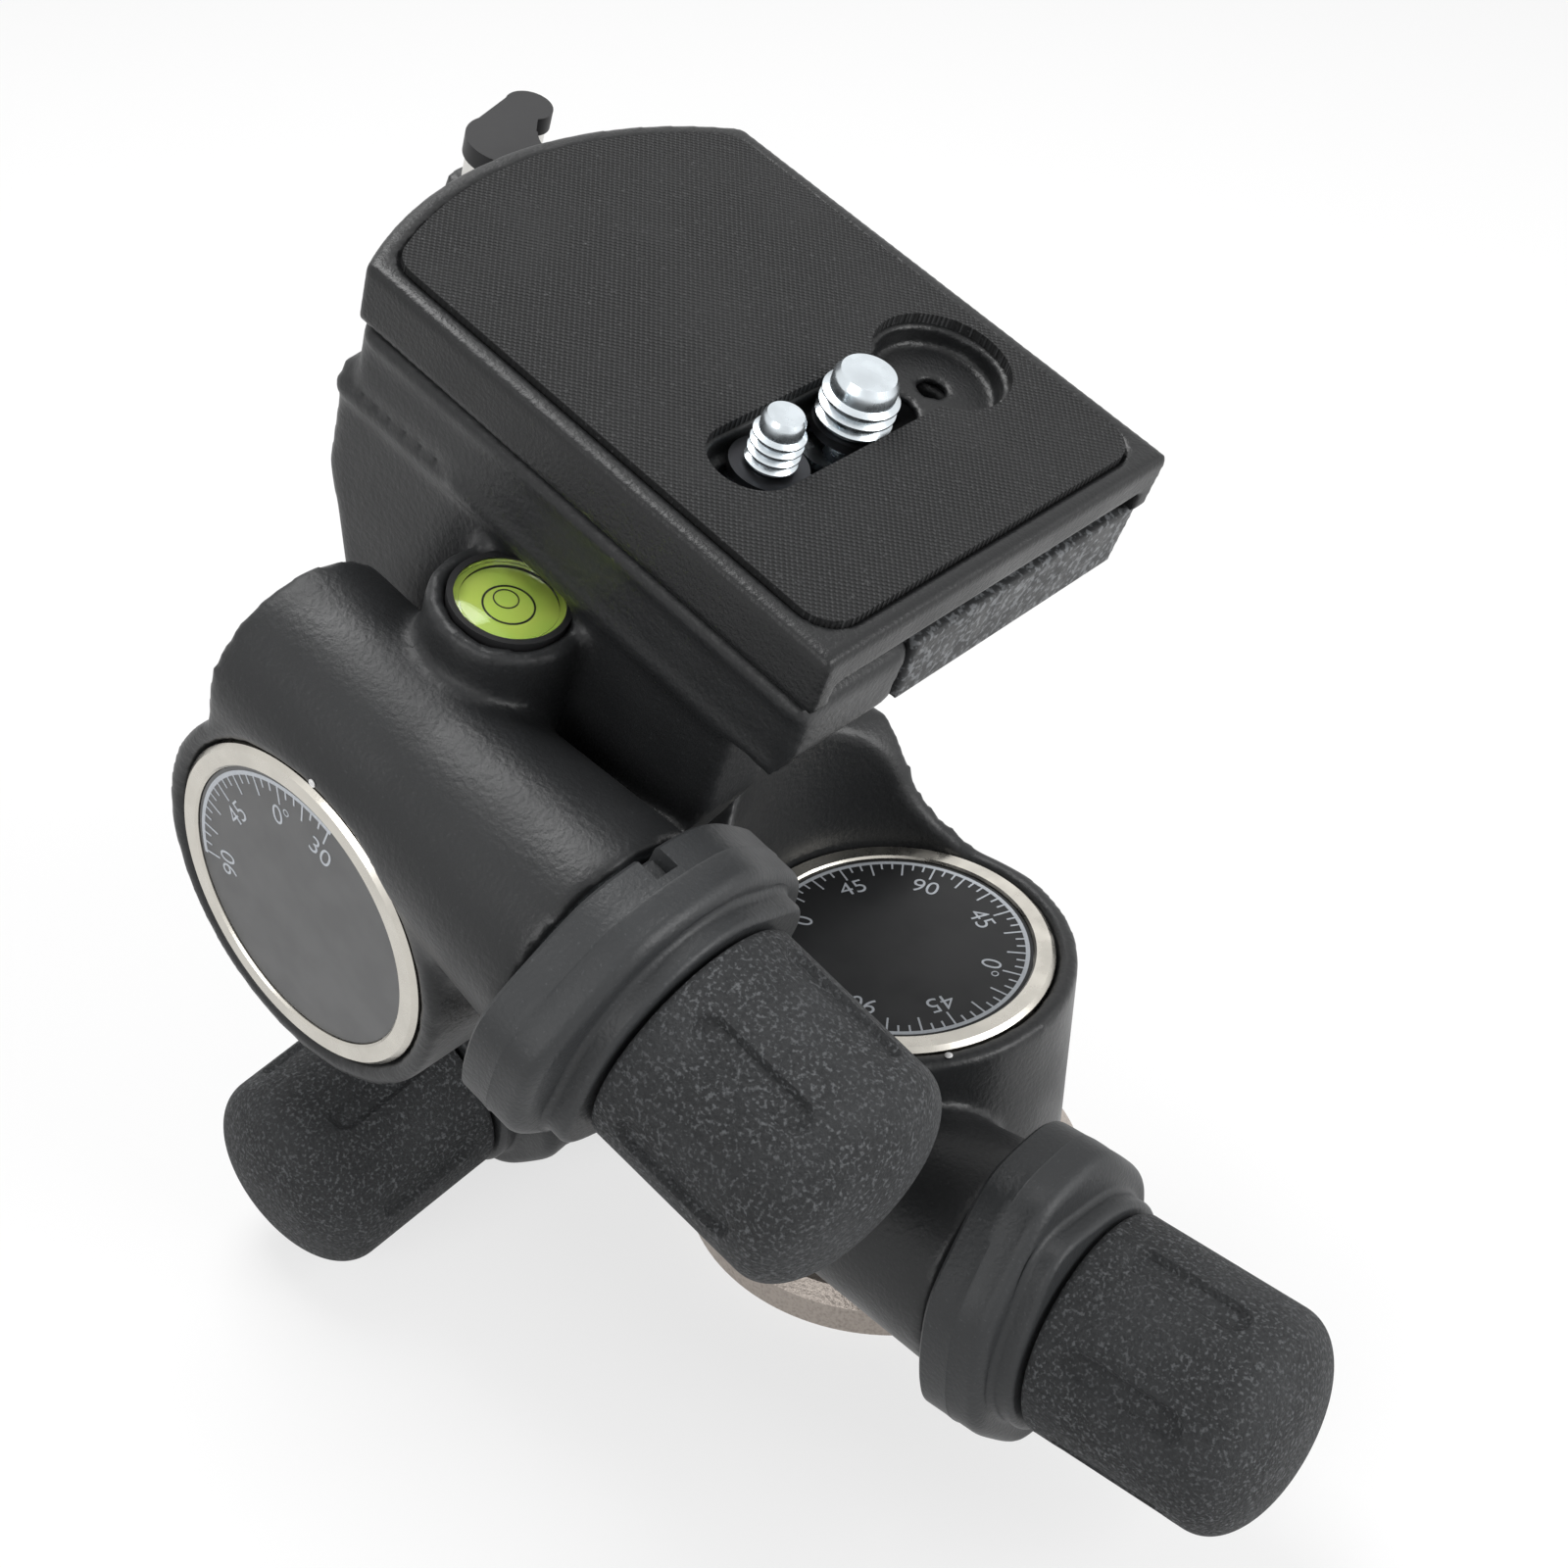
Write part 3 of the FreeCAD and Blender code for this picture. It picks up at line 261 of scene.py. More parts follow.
class Finish:
    """Builds one procedural material on Object coordinates."""

    def __init__(self, name, colour, roughness, metallic=0.0):
        self.material = bpy.data.materials.new(name)
        self.material.use_nodes = True
        self.tree = self.material.node_tree
        self.nodes = self.tree.nodes
        self.links = self.tree.links
        self.shader = self.nodes["Principled BSDF"]
        self.colour = colour
        self.even("Base Color", (*colour, 1.0))
        self.even("Roughness", roughness)
        self.even("Metallic", metallic)
        self.place = self.nodes.new("ShaderNodeTexCoord").outputs["Object"]
        self.normal = None

    def even(self, socket, value):
        """Sets a value that is the same all over."""
        self.shader.inputs[socket].default_value = value

    def noise(self, size_mm, detail):
        """Noise whose features are about a size across, in millimetres."""
        node = self.nodes.new("ShaderNodeTexNoise")
        node.inputs["Scale"].default_value = 1.0 / (size_mm * MM)
        node.inputs["Detail"].default_value = detail
        self.links.new(self.place, node.inputs["Vector"])
        return node.outputs["Fac"]

    def bump(self, height, strength, depth_mm):
        """Adds relief on top of any relief already there."""
        node = self.nodes.new("ShaderNodeBump")
        node.inputs["Strength"].default_value = strength
        node.inputs["Distance"].default_value = depth_mm * MM
        self.links.new(height, node.inputs["Height"])
        if self.normal:
            self.links.new(self.normal, node.inputs["Normal"])
        self.normal = node.outputs["Normal"]
        self.links.new(self.normal, self.shader.inputs["Normal"])

    def spread(self, value, low, high, from_low=0.35, from_high=0.65):
        """Maps a pattern's values onto the range between two numbers."""
        node = self.nodes.new("ShaderNodeMapRange")
        node.inputs["From Min"].default_value = from_low
        node.inputs["From Max"].default_value = from_high
        node.inputs["To Min"].default_value = low
        node.inputs["To Max"].default_value = high
        self.links.new(value, node.inputs["Value"])
        return node.outputs["Result"]

    def tint(self, value, other, most, from_low=0.35, from_high=0.65):
        """Mixes the base colour towards another, by at most a share, where a value is high."""
        node = self.nodes.new("ShaderNodeMix")
        node.data_type = "RGBA"
        self.links.new(self.spread(value, 0.0, most, from_low, from_high), node.inputs["Factor"])
        link = self.shader.inputs["Base Color"].links
        if link:
            self.links.new(link[0].from_socket, node.inputs["A"])
        else:
            node.inputs["A"].default_value = (*self.colour, 1.0)
        node.inputs["B"].default_value = (*other, 1.0)
        self.links.new(node.outputs["Result"], self.shader.inputs["Base Color"])

    def wear(self, value, low, high):
        """Spreads the roughness between two values."""
        self.links.new(self.spread(value, low, high), self.shader.inputs["Roughness"])


def powder_coat(name, colour, rough, grain):
    """Black powder coat: leathery grain, soft sheen and a little dust."""
    coat = Finish(name, colour, rough)
    coat.bump(coat.noise(grain, detail=3.0), strength=0.55, depth_mm=0.16)
    coat.bump(coat.noise(grain * 0.35, detail=2.0), strength=0.25, depth_mm=0.05)
    coat.wear(coat.noise(14.0, detail=4.0), rough - 0.06, rough + 0.08)
    coat.tint(coat.noise(0.45, detail=1.0), shade(colour, 3.2), most=0.35, from_low=0.66, from_high=0.8)
    coat.even("Specular IOR Level", 0.32)
    return coat.material


def speckled_coat(name, colour):
    """Front coat: a dark coat thick with pale specks, given a lighter colour as painted light on the front face.
    """
    coat = Finish(name, colour, 0.5)
    coat.bump(coat.noise(0.8, detail=3.0), strength=0.6, depth_mm=0.16)
    coat.tint(coat.noise(0.9, detail=2.0), shade(colour, 6.0), most=0.85, from_low=0.5, from_high=0.62)
    coat.wear(coat.noise(3.0, detail=2.0), 0.42, 0.58)
    coat.even("Specular IOR Level", 0.35)
    return coat.material


def knob_rubber(name, colour):
    """Charcoal rubber with a dense fine grain that catches pale dust."""
    rubber = Finish(name, colour, 0.72)
    rubber.bump(rubber.noise(0.42, detail=3.0), strength=1.0, depth_mm=0.26)
    rubber.tint(rubber.noise(0.5, detail=3.0), shade(colour, 4.2), most=0.9, from_low=0.53, from_high=0.68)
    rubber.tint(rubber.noise(9.0, detail=4.0), shade(colour, 1.7), most=0.5, from_low=0.45, from_high=0.7)
    rubber.wear(rubber.noise(0.6, detail=2.0), 0.6, 0.85)
    rubber.even("Specular IOR Level", 0.2)
    return rubber.material


def pad_rubber(name, colour, pitch_mm):
    """Pad rubber: rows of small bumps, the product of two sines across the plate, with the bump tops painted
    lighter as a painted highlight, and pale scuffs.
    """
    rubber = Finish(name, colour, 0.62)
    mapping = rubber.nodes.new("ShaderNodeMapping")
    mapping.inputs["Rotation"].default_value = (0.0, -TOP_TILT, 0.0)
    rubber.links.new(rubber.place, mapping.inputs["Vector"])
    split = rubber.nodes.new("ShaderNodeSeparateXYZ")
    rubber.links.new(mapping.outputs["Vector"], split.inputs["Vector"])
    rate = 2 * math.pi / (pitch_mm * MM)
    waves = [maths(rubber.tree, "SINE", maths(rubber.tree, "MULTIPLY", split.outputs[axis], rate))
             for axis in ("X", "Y")]
    bumps = maths(rubber.tree, "MULTIPLY", *waves)
    # Painted highlight: the bump tops are painted lighter, standing in for the light that they catch.
    rubber.tint(bumps, shade(colour, 4.0), most=0.75, from_low=0.1, from_high=1.0)
    rubber.bump(bumps, strength=1.0, depth_mm=0.24)
    rubber.tint(rubber.noise(0.55, detail=3.0), shade(colour, 6.0), most=0.7, from_low=0.62, from_high=0.78)
    rubber.tint(rubber.noise(12.0, detail=5.0), shade(colour, 1.8), most=0.55, from_low=0.45, from_high=0.75)
    rubber.even("Specular IOR Level", 0.16)
    return rubber.material


def satin_metal(name, colour, rough, grain=0.3, strength=0.12):
    """Satin metal: faint grain, uneven sheen and slightly darker clouds."""
    metal = Finish(name, colour, rough, metallic=1.0)
    metal.bump(metal.noise(grain, detail=3.0), strength, depth_mm=0.05)
    metal.wear(metal.noise(4.0, detail=5.0), rough - 0.08, rough + 0.12)
    metal.tint(metal.noise(6.0, detail=3.0), shade(colour, 0.8), most=0.5)
    return metal.material


def grained_base(name, colour):
    """Champagne base disc: pressed metal grain with dark pits."""
    metal = Finish(name, colour, 0.45, metallic=0.55)
    metal.bump(metal.noise(0.55, detail=4.0), strength=0.8, depth_mm=0.2)
    metal.tint(metal.noise(0.5, detail=3.0), shade(colour, 0.62), most=0.7, from_low=0.45, from_high=0.7)
    return metal.material


def printed_film(name, colour):
    """Dial film or moulded plastic: a soft sheen with a very fine grain."""
    film = Finish(name, colour, 0.38)
    film.bump(film.noise(0.25, detail=2.0), strength=0.12, depth_mm=0.03)
    film.wear(film.noise(5.0, detail=3.0), 0.40, 0.52)
    film.even("Specular IOR Level", 0.25)
    return film.material


def print_ink(name, colour):
    """Printed ink or paint, a little uneven."""
    ink = Finish(name, colour, 0.5)
    ink.tint(ink.noise(0.3, detail=2.0), shade(colour, 0.8), most=0.5)
    return ink.material


def level_fluid(name, colour):
    """Level's fluid: glossy yellow green, slightly clear."""
    fluid = Finish(name, colour, 0.12)
    fluid.tint(fluid.noise(5.0, detail=1.0), FLUID_YELLOW, most=0.6)
    fluid.even("Transmission Weight", 0.15)
    fluid.even("IOR", 1.4)
    return fluid.material


def clear_cap(name):
    """Clear moulded cap over the level."""
    cap = Finish(name, CLEAR_TONE, 0.03)
    cap.even("Transmission Weight", 1.0)
    cap.even("IOR", 1.3)
    cap.bump(cap.noise(3.0, detail=1.0), strength=0.03, depth_mm=0.05)
    return cap.material


# Settings

class HeadFinishes(bpy.types.PropertyGroup):
    """Colours of the tripod head's finishes."""
    coat: bpy.props.FloatVectorProperty(
        name="Powder coat", description="Colour of the cast housings", subtype="COLOR", size=3, min=0, max=1,
        default=(0.0175, 0.0183, 0.0192))
    ring: bpy.props.FloatVectorProperty(
        name="Release rings", description="Colour of the release rings", subtype="COLOR", size=3, min=0,
        max=1, default=(0.0270, 0.0285, 0.0300))
    rubber: bpy.props.FloatVectorProperty(
        name="Knob rubber", description="Colour of the knobs' rubber", subtype="COLOR", size=3, min=0, max=1,
        default=(0.0250, 0.0260, 0.0272))
    pad: bpy.props.FloatVectorProperty(
        name="Pad rubber", description="Colour of the camera pad", subtype="COLOR", size=3, min=0, max=1,
        default=(0.0200, 0.0203, 0.0208))
    nickel: bpy.props.FloatVectorProperty(
        name="Nickel", description="Colour of the dial rings", subtype="COLOR", size=3, min=0, max=1,
        default=(0.60, 0.575, 0.52))
    base: bpy.props.FloatVectorProperty(
        name="Base disc", description="Colour of the base disc", subtype="COLOR", size=3, min=0, max=1,
        default=(0.42, 0.37, 0.33))
    ink: bpy.props.FloatVectorProperty(
        name="Dial ink", description="Colour of the dials' scales", subtype="COLOR", size=3, min=0, max=1,
        default=(0.50, 0.53, 0.57))
    fluid: bpy.props.FloatVectorProperty(
        name="Level fluid", description="Colour of the level's fluid", subtype="COLOR", size=3, min=0, max=1,
        default=(0.60, 0.80, 0.14))


class HeadSizes(bpy.types.PropertyGroup):
    """Sizes of the tripod head's fine detail."""
    tick_width: bpy.props.FloatProperty(
        name="Tick width", description="Width of a scale's tick", unit="LENGTH", default=0.26 * MM)
    numeral: bpy.props.FloatProperty(
        name="Numeral height", description="Height of a scale's numerals", unit="LENGTH", default=3.0 * MM)
    bead: bpy.props.FloatProperty(
        name="Bead radius", description="Radius of the cast beads under the plate", unit="LENGTH",
        default=1.15 * MM)
    groove: bpy.props.FloatProperty(
        name="Groove depth", description="Depth of a knob's grooves", unit="LENGTH", default=0.95 * MM)
    pad_pitch: bpy.props.FloatProperty(
        name="Pad pitch", description="Spacing of the pad's bump rows", unit="LENGTH", default=0.85 * MM)


def finishes():
    """Colour settings of the scene."""
    return bpy.context.scene.head_finishes


def sizes():
    """Size settings of the scene."""
    return bpy.context.scene.head_sizes


# Colours that the settings leave alone
ZINC = (0.74, 0.80, 0.84)
DARK_METAL = (0.045, 0.046, 0.05)
STEEL = (0.55, 0.55, 0.57)
BRONZE = (0.60, 0.43, 0.22)
LEVER_METAL = (0.70, 0.69, 0.66)
BLACK_FILM = (0.014, 0.0145, 0.0155)
GREY_FILM = (0.115, 0.116, 0.117)
BLACK_PLASTIC = (0.020, 0.020, 0.021)
WHITE_PAINT = (0.80, 0.80, 0.80)
LEVEL_BLACK = (0.01, 0.012, 0.01)
FLUID_YELLOW = (0.72, 0.82, 0.16)
CLEAR_TONE = (0.97, 1.0, 0.97)
MATERIALS = {}


def make_materials():
    """Fills the table of finishes from the scene's settings."""
    tone = finishes()
    MATERIALS["coat"] = powder_coat("powder_coat", tone.coat, rough=0.40, grain=0.75)
    # Painted light: the jaw's coat is the powder coat made 1.4 times lighter, for the light that falls on the
    # front face.
    MATERIALS["jaw"] = speckled_coat("jaw_coat_painted_light", shade(tone.coat, 1.4))
    MATERIALS["plate"] = powder_coat("plate_coat", shade(tone.coat, 0.6), rough=0.36, grain=0.5)
    MATERIALS["ring"] = powder_coat("ring_coat", tone.ring, rough=0.46, grain=0.6)
    MATERIALS["knob"] = knob_rubber("knob_rubber", tone.rubber)
    MATERIALS["pad"] = pad_rubber("pad_rubber", tone.pad, sizes().pad_pitch / MM)
    MATERIALS["nickel"] = satin_metal("satin_nickel", tone.nickel, rough=0.27)
    MATERIALS["base"] = grained_base("grained_base", tone.base)
    MATERIALS["zinc"] = satin_metal("zinc_plate", ZINC, rough=0.24, grain=0.6, strength=0.08)
    MATERIALS["dark_metal"] = satin_metal("dark_washer", DARK_METAL, rough=0.45)
    MATERIALS["steel"] = satin_metal("turned_steel", STEEL, rough=0.30)
    MATERIALS["bronze"] = satin_metal("bronze", BRONZE, rough=0.35)
    MATERIALS["light_metal"] = satin_metal("satin_lever", LEVER_METAL, rough=0.33)
    MATERIALS["black_film"] = printed_film("black_film", BLACK_FILM)
    MATERIALS["grey_film"] = printed_film("grey_film", GREY_FILM)
    MATERIALS["ink"] = print_ink("dial_ink", tone.ink)
    MATERIALS["white"] = print_ink("white_dot", WHITE_PAINT)
    MATERIALS["mark"] = print_ink("level_mark", LEVEL_BLACK)
    MATERIALS["plastic"] = printed_film("black_plastic", BLACK_PLASTIC)
    MATERIALS["fluid"] = level_fluid("level_fluid", tone.fluid)
    MATERIALS["clear"] = clear_cap("clear_cap")


# Shapes worked out on grids

UP = np.array((0.0, 0.0, 1.0))
BAR_SIDES = 20
POLE_RADIUS = 1e-4
ARC_STATIONS = 120


def full_turn(count):
    """Angles spaced evenly round one turn."""
    return np.linspace(0, 2 * np.pi, count, endpoint=False)


def radial(angle):
    """Directions out from the local Z axis at each angle."""
    return np.stack([np.cos(angle), np.sin(angle), np.zeros_like(angle)], axis=-1)


def tangent(angle):
    """Directions round the local Z axis at each angle."""
    return np.stack([-np.sin(angle), np.cos(angle), np.zeros_like(angle)], axis=-1)


def carried_round(radius, height, angle):
    """Points of a grid: each row is a ring at its own height, whose radius may change with the angle."""
    radius, height, angle = np.broadcast_arrays(radius, np.reshape(height, (-1, 1)), angle)
    return np.stack([radius * np.cos(angle), radius * np.sin(angle), height], axis=-1).reshape(-1, 3)


def closed_solid(name, points, faces):
    """New object from a closed grid, with its faces pointing outwards."""
    mesh = bpy.data.meshes.new(name)
    mesh.from_pydata(points.tolist(), [], faces)
    mend(mesh, outwards=True)
    return link_object(name, mesh)


def solid_tube(name, start, end, radius, place):
    """Closed round bar: a circle of one radius carried along a straight line and drawn in at each end."""
    start, end = np.array(start, float), np.array(end, float)
    along = (end - start) / np.linalg.norm(end - start)
    side = np.cross(along, UP)
    side /= np.linalg.norm(side)
    angle = full_turn(BAR_SIDES)
    circle = np.cos(angle)[:, None] * side + np.sin(angle)[:, None] * np.cross(side, along)
    station = np.array([0.0, 0.0, 1.0, 1.0])[:, None, None]
    reach = np.array([POLE_RADIUS, radius, radius, POLE_RADIUS])[:, None, None]
    points = start + station * (end - start) + reach * circle
    return closed_solid(name, placed(points.reshape(-1, 3), place), capped_faces(len(station), BAR_SIDES))


def arc_shell(name, place, first, last, inner, outer, low, high):
    """Closed part of a tube: a rectangle of radius and height carried along an arc, with its ends capped."""
    angle = np.radians(np.linspace(first, last, ARC_STATIONS))
    corner = np.array([(inner, low), (outer, low), (outer, high), (inner, high)])
    points = radial(angle)[:, None] * corner[:, :1] + corner[:, 1:] * UP
    return closed_solid(name, placed(points.reshape(-1, 3), place), capped_faces(ARC_STATIONS, len(corner)))


def turned(name, profile, place, material, around=128, closed=False):
    """Surface of revolution: each profile point (radius, height) is carried round the local Z axis."""
    profile = np.asarray(profile, float)
    points = carried_round(profile[:, :1], profile[:, 1], full_turn(around))
    piece = mesh_piece(name, placed(points, place), ring_faces(len(profile), around, closed), material)
    tidy_surface(piece)
    return piece


def tidy_surface(piece):
    """Closes the poles, points the faces outwards and keeps hard edges crisp."""
    mend(piece.data, GRID_GAP, outwards=True)
    smooth_all(piece.data)
    piece.data.set_sharp_from_angle(angle=CRISP_TURNED_EDGE)


# Knobs, with heights in millimetres from the worm's middle

KNOB_START = 50.0
KNOB_LENGTH = 24.0
KNOB_DOME = 6.0
KNOB_RADIUS = 15.4
KNOB_TAPER = 0.35
KNOB_SIDES = 288
KNOB_LIP = ((14.3, 0.0), (14.9, 0.12), (15.25, 0.45), (KNOB_RADIUS, 1.0))
SIDE_LOW = 1.6
SIDE_HIGH = 22.3
SIDE_ROWS = 56
DOME_ROWS = 44
DOME_POWER = 2.25
CORE_RADIUS = 12.05
CORE_LENGTH = 22.05
GROOVES = 6
GROOVE_LOW = 4.0
GROOVE_HIGH = 20.5
GROOVE_ROUND = 2.0
GROOVE_REACH = 2.35
GROOVE_BLEND = 0.75


def knob_grip(drive):
    """Rubber grip: radius = profile of the height, less the grooves' depth. Each groove is a smooth window of
    the distance from its middle line, and the end is a superellipse over the shoulder."""
    rise = np.linspace(SIDE_LOW, SIDE_HIGH, SIDE_ROWS)
    side = np.stack([KNOB_RADIUS - KNOB_TAPER * rise / KNOB_LENGTH, rise], axis=-1)
    share = np.sin(np.linspace(0, np.pi / 2, DOME_ROWS))[1:]
    dome_height = SIDE_HIGH + (KNOB_LENGTH + KNOB_DOME - SIDE_HIGH) * share
    dome_radius = side[-1, 0] * (1 - share ** DOME_POWER) ** (1 / DOME_POWER)
    dome = np.stack([dome_radius, dome_height], axis=-1)
    core = np.array([(0.0, CORE_LENGTH), (CORE_RADIUS, CORE_LENGTH), (CORE_RADIUS, 0.0)])
    profile = np.concatenate([core, KNOB_LIP, side, dome])
    angle = full_turn(KNOB_SIDES)
    turn = (angle * GROOVES / (2 * np.pi) + 0.5) % 1.0 - 0.5
    arc = np.abs(turn) * 2 * np.pi / GROOVES * KNOB_RADIUS
    height = profile[:, 1:]
    beyond = np.maximum(GROOVE_LOW + GROOVE_ROUND - height, height - (GROOVE_HIGH - GROOVE_ROUND))
    away = np.hypot(arc, np.maximum(beyond, 0.0))
    window = np.clip((GROOVE_REACH - away) / GROOVE_BLEND, 0.0, 1.0)
    window = window * window * (3 - 2 * window)
    outside = (np.arange(len(profile)) > len(core))[:, None]
    depth = sizes().groove / MM * window * outside
    points = carried_round(np.maximum(profile[:, :1] - depth, 0.0), height + KNOB_START, angle)
    piece = mesh_piece(drive + "_grip", placed(points, worm_frame(drive)),
                       ring_faces(len(profile), KNOB_SIDES, False), MATERIALS["knob"])
    tidy_surface(piece)
    return settle(piece, drive + "_knob", drive + "_knob_grip")


# Release rings, with heights in millimetres from the worm's middle

RELEASE_START = 37.0
RELEASE_THICK = 9.3
RELEASE_SIDES = 360
RELEASE_BORE = 15.3
RELEASE_HOLE = 4.5
BORE_DEPTH = 5.4
CHAMFER = 0.5
NOTCH_HALF = 1.5
NOTCH_DEPTH = 1.9
NOTCH_LENGTH = 3.4
NOTCH_RADIUS = 18.6
COLLAR_RADIUS = 18.0
COLLAR_POWER = 24
WING_REACH = 22.6
WING_FLAT = 18.4
WING_SLANT = 19.7
SLANT_X = 0.642
SLANT_Y = 0.767
WING_POWER = 15
WING_ROUND = 1.9
FLANGE_THICK = 3.2
FLANGE_RADIUS = 16.2
FLANGE_ROUND = 0.9
LOBE_ANGLES = (0.45, 0.45 + math.pi)
LOBE_SPREAD = 0.34
LOBE_REACH = 2.6
BEND_ROWS = 8
# Steps out from the wing's outline and up from the ring's start along its seam
SEAM = ((0.0, 3.45), (0.08, 4.55), (-0.06, 4.75))


def soft_largest(first, second, power):
    """Larger of two numbers with a soft change from one to the other: the power sum of the two."""
    return (first ** power + second ** power) ** (1 / power)


def wing_outline(angle):
    """Release ring's outline: a round collar blended with a six-sided wing plate whose corners are rounded by
    adding the plate's half planes as a high power sum."""
    x, y = np.cos(angle), np.sin(angle)
    planes = [(1.0, 0.0, WING_REACH), (-1.0, 0.0, WING_REACH)]
    planes += [(0.0, 1.0, WING_FLAT), (0.0, -1.0, WING_FLAT)]
    planes += [(sx * SLANT_X, sy * SLANT_Y, WING_SLANT) for sx in (-1, 1) for sy in (-1, 1)]
    total = sum(np.maximum(px * x + py * y, 0.0) ** WING_POWER / reach ** WING_POWER
                for px, py, reach in planes)
    plate = total ** (-1 / WING_POWER)
    return soft_largest(plate, np.full_like(plate, COLLAR_RADIUS), COLLAR_POWER)


def flange_outline(angle):
    """Flange's outline: a circle with two soft lobes set off the wings."""
    lobes = sum(np.exp(-(np.angle(np.exp(1j * (angle - at))) / LOBE_SPREAD) ** 2) for at in LOBE_ANGLES)
    return FLANGE_RADIUS + LOBE_REACH * lobes


def release_ring(drive):
    """Release ring: the wing outline and the flange outline carried through a closed cross-section."""
    angle = full_turn(RELEASE_SIDES)
    wing = wing_outline(angle)
    flange = flange_outline(angle)
    low = RELEASE_START
    high = low + RELEASE_THICK
    end = high + FLANGE_THICK
    floor = low + BORE_DEPTH
    rim = wing + SEAM[-1][0]
    notch = np.where(np.abs(angle - np.pi / 2) * NOTCH_RADIUS < NOTCH_HALF, NOTCH_DEPTH, 0.0)
    bend = [(np.sin(t), 1 - np.cos(t)) for t in np.linspace(0, np.pi / 2, BEND_ROWS)]
    rows = [(RELEASE_HOLE, floor), (RELEASE_BORE, floor), (RELEASE_BORE, low + CHAMFER)]
    rows += [(RELEASE_BORE + CHAMFER, low), (wing - CHAMFER - notch, low)]
    rows += [(wing - notch, low + CHAMFER), (wing - notch, low + NOTCH_LENGTH)]
    rows += [(wing + out, low + up) for out, up in SEAM]
    rows += [(rim - WING_ROUND * inwards, high - WING_ROUND + WING_ROUND * up)
             for up, inwards in bend]
    rows += [(flange + FLANGE_ROUND - FLANGE_ROUND * inwards, high + FLANGE_ROUND * up)
             for inwards, up in bend]
    rows += [(flange - FLANGE_ROUND * inwards, end - FLANGE_ROUND + FLANGE_ROUND * up)
             for up, inwards in bend]
    rows += [(RELEASE_HOLE, end)]
    radius = np.stack([np.broadcast_to(reach, angle.shape) for reach, height in rows])
    points = carried_round(radius, [height for reach, height in rows], angle)
    piece = mesh_piece(drive + "_ring", placed(points, worm_frame(drive)),
                       ring_faces(len(rows), RELEASE_SIDES, True), MATERIALS["ring"])
    tidy_surface(piece)
    return settle(piece, drive + "_release", drive + "_release_ring")


# Dials, in millimetres and degrees

LABEL_DEPTH = 0.5
INK_LIFT = 0.05
INK_THINNING = 0.03
SCALE_OUTER = 18.3
SCALE_SHORT = 1.3
SCALE_LONG = 2.7
TICK_STEP = 5
LONG_TICK_STEP = 15
BAND_STEP = 2.5
BAND_HALF = 0.3
BAND_SHIFT = 0.2
BAND_OVERLAP = 1.02
BAND_FLATNESS = 0.8
NUMERAL_RADIUS = 13.6
FONT_SHARE = 1.38
INDEX_RADIUS = 24.0
DOT_RADIUS = 0.55
DOT_FLATNESS = 0.35
DOT_ROWS = 12
DOT_SIDES = 24
DOT_ACROSS = (0.3, 0.5, 0.7)
PAN_MARKS = ((0, "0°"), (45, "45"), (90, "90"), (135, "45"), (180, "0"),
             (-45, "45"), (-90, "90"), (-135, "45"))
TILT_MARKS = ((0, "0°"), (-30, "30"), (45, "45"), (90, "90"))
DIALS = {
    "pan": {"zero": 20.0, "first": -180, "last": 175, "index": -34.5, "film": "black_film",
            "marks": PAN_MARKS},
    "lower_tilt": {"zero": 91.0, "first": -30, "last": 90, "index": 85.0, "film": "grey_film",
                   "marks": TILT_MARKS},
    "upper_tilt": {"zero": 91.0, "first": -30, "last": 90, "index": 71.3, "film": "grey_film",
                   "marks": TILT_MARKS},
}


def film_boxes(angle, reach, halves):
    """Flat boxes that lie on a dial's film at each angle, with their lengths along their own radius."""
    centres = radial(angle) * np.reshape(reach, (-1, 1)) + (0, 0, -LABEL_DEPTH + INK_LIFT / 2)
    axes = np.stack([radial(angle), tangent(angle), np.broadcast_to(UP, centres.shape)], axis=1)
    return boxes(centres, np.broadcast_to(halves, centres.shape), axes)


def dial_ticks(drive):
    """Scale of a dial: a tick at every fifth degree and a thin band of short bars round their outer ends."""
    dial = DIALS[drive]
    degrees = np.arange(dial["first"], dial["last"] + 1, TICK_STEP)
    length = np.where(degrees % LONG_TICK_STEP == 0, SCALE_LONG, SCALE_SHORT)
    halves = np.stack([length / 2, np.full_like(length, sizes().tick_width / MM / 2),
                       np.full_like(length, INK_LIFT / 2)], axis=-1)
    ticks, tick_faces = film_boxes(np.radians(dial["zero"] + degrees), SCALE_OUTER - length / 2, halves)
    if drive == "pan":
        steps = np.arange(0, 360, BAND_STEP)
    else:
        steps = np.arange(dial["zero"] + dial["first"], dial["zero"] + dial["last"] + 0.1, BAND_STEP)
    chord = (SCALE_OUTER + BAND_HALF) * math.radians(BAND_STEP) / 2 * BAND_OVERLAP
    band_halves = (BAND_HALF, chord, INK_LIFT / 2 * BAND_FLATNESS)
    band, band_faces = film_boxes(np.radians(steps), SCALE_OUTER + BAND_SHIFT, band_halves)
    points = np.concatenate([ticks, band])
    faces = np.concatenate([tick_faces, band_faces + len(ticks)])
    piece = mesh_piece(drive + "_scale", placed(points, dial_frame(drive)), faces, MATERIALS["ink"], False)
    return settle(piece, DIAL_BODY[drive])


